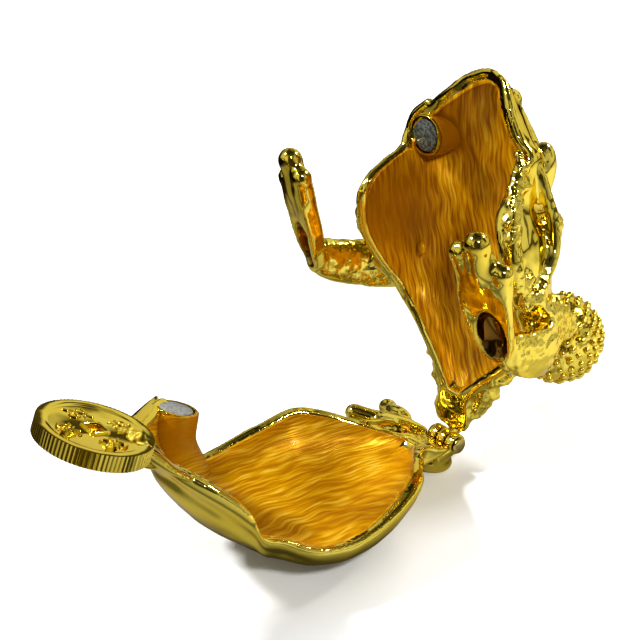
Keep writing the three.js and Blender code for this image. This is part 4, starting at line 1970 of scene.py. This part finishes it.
@dataclass(frozen=True)
class Back:
    """The upper casting: the toad's back with its head, front legs and beaded haunches."""

    finishes: Finishes
    shell: Shell = LID_SHELL
    grain: float = 0.34
    hump: Spot = (8.8, 17.1, 13.6)
    hump_radius: float = 6.7
    bead_radius: float = 0.6
    boss_top: float = 9.0
    sunk: float = 0.4
    blister: Spot = (-11.2, 27.5, 3.2)
    granular: tuple[Patch, ...] = (
        ((16.6, 24.4, -1), (3.6, 5.2, 5.6), 0.5), ((16, 25.5, 6), (4.2, 6.5, 5.4), 1),
        ((11.4, 48.4, -0.6), (2.6, 3.4, 2.6), 1), ((13.6, 41.5, -4), (3.2, 6.5, 3.4), 1),
        ((10.2, 37, 7.8), (3.4, 4.4, 3), 1), ((16.2, 32.6, -2.2), (3.2, 4.4, 4.6), 1),
        ((20.4, 26.4, -7), (3.6, 3.4, 5.5), 0.6), ((5, 8.5, 3.5), (4, 6, 3.4), 0.8),
        ((12.5, 20.5, 8), (4.5, 6.5, 6), 0.7), ((19.8, 36, -7.6), (3.4, 7, 3), 0.6),
    )

    @property
    def face(self) -> float:
        """Height of the lid magnet's face."""
        return MAGNETS.face + self.shell.rim.lift

    def pair(self, make: Callable[[int], list[Piece]]) -> list[Piece]:
        """What is made once for each side."""
        return [piece for side in (1, -1) for piece in make(side)]

    def head(self, side: int) -> list[Piece]:
        """Eye, brow, nostril and the curled gland behind the eye.

        Args:
            side: 1 for the toad's left, -1 for its right.

        Returns:
            The pieces.
        """
        brow = spots(((2.8, 55, 5.4), (5, 50.5, 6.6), (7, 44, 8.3), (7.6, 38, 8.6)), side)
        upper = spots(((9.8, 49.5, 2.6), (11.4, 46.5, 3.4), (12.2, 43, 4.2), (13, 39.5, 5), (14.2, 35.5, 4.4),
                       (15.6, 32.6, 1.4), (16.2, 31.2, -1.6)), side)
        lower = spots(((10.6, 50.2, -0.4), (12, 46.8, -2.6), (13.5, 43, -4.6), (14.8, 38.5, -5.6),
                       (16, 33.5, -4.8), (16.8, 30, -2.4)), side)
        lumps = ((11.2, 48.6, -0.8), (12.9, 44.2, -3.1), (13.6, 41, -4.2), (14.9, 36.6, -4.4),
                 (12.4, 46.4, -1.4), (15.9, 33.8, -2.9), (16.6, 31.4, -1.2), (15.8, 34.8, -4.9),
                 (15.9, 32.2, 0.9), (17, 30.4, -3.6))
        curls = ((9.9, 47, 5.9), (10.4, 44.6, 6.3))
        if side < 0:
            lower, lumps = lower[3:], [lump for lump in lumps if lump[1] < 38]
        return [
            cord(upper, 0.95),
            limb(lower, [(0.7, 0.7), (1.2, 1.2), (1.6, 1.5), (1.6, 1.5), (1.0, 1.0)]),
            *(ellipsoid(middle, (1.2, 1.0, 1.3), detail=20) for middle in spots(lumps, side)),
            *(ellipsoid(middle, (0.6, 0.75, 0.6), detail=16) for middle in spots(curls, side)),
            ellipsoid(spot(side * 8.2, 44.2, 5.6), (2.6, 6.3, 2.8), (-8, 0, side * 8)),
            limb(brow, [(0.9, 0.9), (1.1, 1.1), (1.2, 1.1), (0.8, 0.8)]),
            ellipsoid(spot(side * 3.7, 55.2, 4.6), (1.4, 1.9, 1.4)),
            ellipsoid(spot(side * 9.8, 36.4, 7.5), (2.3, 3.8, 2.2), (-8, 0, side * 15)),
        ]

    def haunch(self, side: int) -> list[Piece]:
        """Hump, thigh, rump and the folds of skin round them.

        Args:
            side: 1 for the toad's left, -1 for its right.

        Returns:
            The pieces.
        """
        x, ahead, up = self.hump
        made = [
            ellipsoid(spot(side * x, ahead, up), (self.hump_radius,) * 3, detail=48),
            ellipsoid(spot(side * 4, 9.4, 3.2), (2.4, 5, 2.1), (0, 0, side * 18)),
            ellipsoid(spot(side * 7.6, 18.4, 8.6), (5, 6.6, 5.2), (-8, 0, 0)),
        ]
        for k in range(3):
            fold = ((3 + k * 1.7, 4.6 + k * 3.6, 1.6), (4 + k * 1.7, 5.8 + k * 3.2, 3 + k * 0.5),
                    (2.6 + k * 1.4, 7.4 + k * 2.7, 4.4 + k * 0.9))
            made.append(limb(spots(fold, side), [(0.8, 0.8), (1.1, 1), (0.7, 0.7)]))
        for k in range(5):
            fold = ((17.4 - k * 0.55, 31.6 - k * 0.9, -2.4 + k * 1.9),
                    (18.1 - k * 0.8, 28.2 - k * 0.8, 0.4 + k * 2.0),
                    (17.2 - k * 0.7, 24.4 - k * 0.7, 3.2 + k * 1.9),
                    (15.4 - k * 0.4, 21.2 - k * 0.5, 5.8 + k * 1.5))
            made.append(cord(spots(fold, side), 0.62 + 0.1 * (k % 2)))
        return made

    def beads(self, side: int) -> list[Piece]:
        """The warts: small balls spread evenly over the outer part of the hump.

        Args:
            side: 1 for the toad's left, -1 for its right.

        Returns:
            The warts of one hump.
        """
        middle = spot(side * self.hump[0], *self.hump[1:])
        outward = Vector((side * 0.75, 0.15, 0.64)).normalized()
        golden, count = math.pi * (3 - math.sqrt(5)), 215
        jitter = np.random.default_rng(3)
        places = []
        for k in range(count):
            z = 1 - 2 * (k + 0.5) / count
            ring = math.sqrt(1 - z * z)
            out = Vector((ring * math.cos(k * golden), ring * math.sin(k * golden), z))
            size = self.bead_radius * jitter.uniform(0.8, 1.12)
            out = (out + Vector(jitter.normal(0, 0.018, 3))).normalized()
            if out.dot(outward) < -0.2:
                continue
            turn = out.to_track_quat("Z", "Y").to_matrix().to_4x4()
            where = Matrix.Translation(middle + out * (self.hump_radius + 0.02))
            places.append(where @ turn @ Matrix.Scale(size, 4))
        return copies(bead(), places)

    def warts(self) -> list[Piece]:
        """Larger single warts on the arms and cheeks.

        Returns:
            The warts.
        """
        warts = ((-15.6, 25.9, -1.2, 0.8), (9.4, 49.6, 0.4, 0.8), (11.6, 38.9, 7.4, 0.6),
                 (15.4, 22.5, 6, 0.7))
        return copies(bead(finer=True), [
            Matrix.Translation(spot(*place)) @ Matrix.Scale(size, 4) for *place, size in warts])

    def casting(self) -> Piece:
        """The whole casting, in millimetres round the hinge.

        Returns:
            Its skin.
        """
        half = HINGE.knuckle_length / 2
        proud = fused("proud", [
            *self.pair(self.head),
            *self.pair(self.haunch),
            *self.pair(lambda side: FrontLeg(side).build()),
            ellipsoid(spot(-3.4, 4, 2.6), (1.8, 1.8, 1.8)),
            limb(spots(((-14.7, 42.6, 1.2), (-15.1, 45.4, 3.2), (-14.4, 48.2, 3.5), (-11.6, 51.2, 3.4))),
                 [(0.7, 0.8), (0.95, 1.1), (0.95, 1.1), (0.7, 0.8)]),
        ], self.grain, 0)
        cut(proud, self.shell.hollow_piece())
        for side in (1, -1):
            cut(proud, FrontLeg(side).pit())
        arm = limb([(0, 0, HINGE.radius * 0.3), spot(0, 1.6, 2.6), spot(0, 5.5, 3.4)],
                   [(half, 1), (half, 1.2), (2.6, 1.6)])
        skin = fused("toad_lid", [self.shell.wall_piece(), proud], self.grain, 3)
        settle(skin, self.shell.wall_piece())
        uneven(skin, 4.0, 0.28)
        skin = HINGE.carried(skin, [arm], [-HINGE.pitch, HINGE.pitch], self.grain)
        cut(skin, MAGNETS.room())
        skin = one_piece(skin)
        rows = corners(skin)
        away = np.linalg.norm(closest(skin, self.shell.wall_piece()) - rows, axis=1)
        proud_of_wall = np.clip((away - 0.12) / 0.25, 0, 1)
        weights = [near(rows, (side * x, ahead, up), half) * share
                   for side in (1, -1) for (x, ahead, up), half, share in self.granular]
        grained(skin, np.maximum.reduce(weights) * proud_of_wall, 1.35, 0.7)
        rows = corners(skin)
        pits = [self.in_pit(rows, side) for side in (1, -1)]
        # Weights for the painted shade deep in the heels' hollows.
        weigh(skin, "pit", np.maximum.reduce(pits))
        return skin

    def in_pit(self, rows: np.ndarray, side: int) -> np.ndarray:
        """How deep each row lies in the hollow of one heel, from 0 at its mouth to 1.

        Args:
            rows: Places on the skin.
            side: 1 for the toad's left, -1 for its right.

        Returns:
            One value a row.
        """
        leg = FrontLeg(side)
        back = (leg.pose() @ mirrored(side)).inverted()
        local = rows @ np.array(back.to_3x3()).T + np.array(back.translation)
        x, ahead, up = leg.foot.hollow
        deep = np.linalg.norm((local - (x, -ahead, up)) / leg.foot.hollow_half, axis=1)
        return np.clip((local[:, 2] - 0.1) / 0.5, 0, 1) * np.clip((1.2 - deep) / 0.08, 0, 1)

    def boss(self) -> Piece:
        """The gold core of the lid's magnet socket.

        Returns:
            The core, with its pocket.
        """
        core = MAGNETS.rod(MAGNETS.post, self.face + 0.05, self.face + self.boss_top)
        outline = self.shell.rim.outline(self.shell.sides)
        rings = self.shell.bowl(outline, self.sunk, self.shell.angles())
        middle = spot(*self.shell.middle)
        within(core, globe("full", np.concatenate([outline[None], rings]), (middle.x, middle.y, -3),
                           self.shell.pole(self.sunk)))
        depth = MAGNETS.thickness + MAGNETS.clearance
        cut(core, MAGNETS.rod(MAGNETS.pocket, self.face - 2, self.face + depth), "EXACT")
        return core

    def lining(self) -> Piece:
        """The enamel: the dome's lining, the wrap round the socket, and a blister.

        Returns:
            The enamel as one piece.
        """
        wrap = MAGNETS.rod(MAGNETS.post + 0.22, self.face + 0.45, self.face + self.boss_top)
        within(wrap, self.shell.hollow_piece())
        cut(wrap, MAGNETS.rod(MAGNETS.post - 0.1, self.face - 1, self.face + 2.2), "EXACT")
        layer = self.shell.lining_piece()
        cut(layer, MAGNETS.room(), "EXACT")
        blister = ellipsoid(spot(*self.blister), (0.9, 1.1, 0.6))
        whole = joined("lid_enamel", [layer, wrap, blister])
        rows = corners(whole)
        # Smooth, darker enamel round the magnet socket and along the dome's right side: painted shade.
        weigh(whole, "smooth_shade", np.maximum(near(rows, (-11, 46, 5), (4.2, 4.2, 5)),
                                        near(rows, (-14.4, 34, -1), (4.6, 8, 8), 0.8) * 0.85))
        return whole

    def build(self) -> None:
        """Builds and dresses the casting and what is fixed in it."""
        skin = self.casting()
        lip = MAGNETS.lip(self.face, Way.ABOVE)
        whole = joined("toad_lid", [
            skin, self.boss(), lip, HINGE.knuckle(0), *self.pair(self.beads), *self.warts()])
        pose, finishes = STANCE.lid(), self.finishes
        place(whole, pose, "lid", "gilt_metal", finishes.gilt, "lid_casting")
        place(self.lining(), pose, "lid", "enamel", finishes.lid_enamel)
        disc = MAGNETS.disc("lid_magnet_disc", self.face, Way.ABOVE)
        place(disc, pose, "lid", "magnet", finishes.lid_magnet, "lid_magnet")


@dataclass(frozen=True)
class Studio:
    """Camera, floor and soft light."""

    lens: float = 97.2
    sensor: float = 36.0
    camera_at: Spot = (161.2, -138.4, 145.4)
    azimuth: float = 49.33
    elevation: float = 27.69
    dark_side: Spot = (0.74, -0.63, 0.23)
    lit_middle: Spot = (0, 0, 0.03)
    floor_half: float = 0.45
    floor_seen: float = 0.93
    floor_mirrored: float = 0.42
    # Middle and reach, in metres, of the bright sheet that the gold mirrors and of the shade under the belly.
    sheet: tuple[Spot, float] = ((0.1, 0.1, 0), 0.25)
    belly: tuple[Spot, float] = ((0.0, -0.004, 0), 0.06)
    # Grey levels of the room from below to above and from side to side, and of the floor out from the belly.
    sky: tuple[tuple[float, float], ...] = (
        (0.0, 0.3), (0.44, 0.6), (0.51, 0.85), (0.74, 0.85), (0.84, 0.5), (0.93, 0.08), (1.0, 0.04))
    sideways: tuple[tuple[float, float], ...] = (
        (0.03, 0.08), (0.09, 0.8), (0.2, 1.0), (0.85, 1.0), (1.0, 0.5))
    under_belly: tuple[tuple[float, float], ...] = (
        (0.24, 0.22), (0.34, 0.8), (0.42, 1.0), (0.48, 0.9), (0.55, 0.28), (0.61, 0.3), (0.7, 0.75),
        (1.0, 0.9))
    lamps: tuple[tuple[str, Spot, tuple[float, float], float], ...] = (
        ("key", (-0.32, -0.3, 0.5), (0.1, 0.08), 5.0),
        ("fill", (0.5, -0.2, 0.5), (0.09, 0.07), 3.0),
        ("back", (0.1, 0.5, 0.45), (0.2, 0.05), 3.0),
    )

    def stand(self, name: str, data: bpy.types.ID, at: Vector, aim: Vector) -> Piece:
        """Sets up a camera or a lamp.

        Args:
            name: Its name.
            data: The camera or the light.
            at: Its place, in metres.
            aim: The direction it looks in.

        Returns:
            The object.
        """
        holder = bpy.data.objects.new(name, data)
        bpy.context.scene.collection.objects.link(holder)
        holder.location = at
        holder.rotation_mode = "QUATERNION"
        holder.rotation_quaternion = aim.to_track_quat("-Z", "Y")
        return holder

    def camera(self) -> None:
        """The camera at the photograph's place, looking its way without roll."""
        data = bpy.data.cameras.new("camera")
        data.lens, data.sensor_width = self.lens, self.sensor
        data.clip_start, data.clip_end = 0.01, 10.0
        turn, lift = math.radians(self.azimuth), math.radians(self.elevation)
        back = Vector((math.sin(turn) * math.cos(lift), -math.cos(turn) * math.cos(lift), math.sin(lift)))
        bpy.context.scene.camera = self.stand("camera", data, Vector(self.camera_at) * MM, -back)

    def from_spot(self, tree: Tree, where: Socket, middle: Spot,
                  reach: float) -> Socket:
        """How far a place lies from a middle, as a share of a reach.

        Args:
            tree: Where it goes.
            where: The place.
            middle: The middle, in metres.
            reach: The distance that counts as 1, in metres.

        Returns:
            The share.
        """
        away = arithmetic(tree, "VectorMath", "DISTANCE", where, middle)
        share = plug(tree, "MapRange", Value=away.outputs["Value"], From_Min=0.0, From_Max=reach)
        return share.outputs["Result"]

    def floor(self) -> None:
        """A plain pale floor, which the gold mirrors as a small bright sheet."""
        piece = added(
            bpy.ops.mesh.primitive_grid_add, x_subdivisions=8, y_subdivisions=8, size=2 * self.floor_half)
        piece.name = "floor"
        material, tree, surface = started("pale_floor", Roughness=0.9, Specular_IOR_Level=0.0)
        where = plug(tree, "TexCoord").outputs["Object"]
        far = self.from_spot(tree, where, *self.sheet)
        close = self.from_spot(tree, where, *self.belly)
        across = plug(tree, "SeparateXYZ", Vector=where)
        side = plug(tree, "MapRange", Value=across.outputs["X"], From_Min=-0.1, From_Max=0.0)
        lit = self.floor_mirrored
        sheet = multiplied(tree, [
            ramp(tree, far, [*greys([(0.3, lit * 1.75), (0.55, lit), (0.68, lit * 0.75)]),
                             (0.95, (0.04, 0.035, 0.025))]),
            ramp(tree, close, greys(self.under_belly)),
            ramp(tree, side.outputs["Result"], [(0.08, (0.08, 0.065, 0.045)), (0.24, (1, 1, 1))]),
        ])
        direct = plug(tree, "LightPath").outputs["Is Camera Ray"]
        link(tree, blended(tree, direct, sheet, (self.floor_seen,) * 3), surface.inputs["Base Color"])
        piece.data.materials.append(material)

    def surroundings(self) -> None:
        """A room that the camera sees as white, and the gold as pale walls with darker things by them."""
        world = bpy.data.worlds.new("room")
        bpy.context.scene.world = world
        world.use_nodes = True
        tree = world.node_tree
        tree.nodes.clear()
        where = plug(tree, "TexCoord").outputs["Generated"]
        split = plug(tree, "SeparateXYZ", Vector=where)
        levels = []
        for axis, stops in (("Z", self.sky), ("X", self.sideways)):
            place = plug(tree, "MapRange", Value=split.outputs[axis], From_Min=-1.0, From_Max=1.0)
            levels.append(ramp(tree, place.outputs["Result"], greys(stops)))
        patch = plug(tree, "TexNoise", Vector=where, Scale=2.6, Detail=1.0, Roughness=0.5)
        things = ramp(tree, patch.outputs["Fac"], [(0.4, (0.08, 0.065, 0.04)), (0.46, (1, 1, 1))])
        toward = arithmetic(tree, "VectorMath", "DOT_PRODUCT", where, self.dark_side)
        shade = ramp(tree, toward.outputs["Value"], [(0.78, (1, 1, 1)), (0.9, (0.07, 0.06, 0.04))])
        direct = plug(tree, "LightPath").outputs["Is Camera Ray"]
        seen = blended(tree, direct, multiplied(tree, [*levels, things, shade]), (1, 1, 1))
        back = plug(tree, "Background", Color=seen, Strength=1.0)
        out = tree.nodes.new("ShaderNodeOutputWorld")
        link(tree, back.outputs[0], out.inputs["Surface"])

    def lamp(self, name: str, at: Spot, size: tuple[float, float], watts: float) -> None:
        """A soft lamp turned towards the toad.

        Args:
            name: Its name.
            at: Its place, in metres.
            size: Its width and height.
            watts: Its strength.
        """
        data = bpy.data.lights.new(name, "AREA")
        data.shape = "RECTANGLE"
        data.size, data.size_y = size
        data.energy = watts
        self.stand(name, data, Vector(at), Vector(self.lit_middle) - Vector(at))

    def build(self) -> None:
        """Sets the whole studio."""
        self.camera()
        self.floor()
        self.surroundings()
        for name, at, size, watts in self.lamps:
            self.lamp(name, at, size, watts)
        bpy.context.scene.view_settings.view_transform = "Standard"


def main() -> None:
    """Builds the studio and the box."""
    logging.basicConfig(level=logging.INFO, format="%(message)s")
    Studio().build()
    finishes = Finishes.mixed()
    Belly(finishes).build()
    Back(finishes).build()


if __name__ == "__main__":
    main()
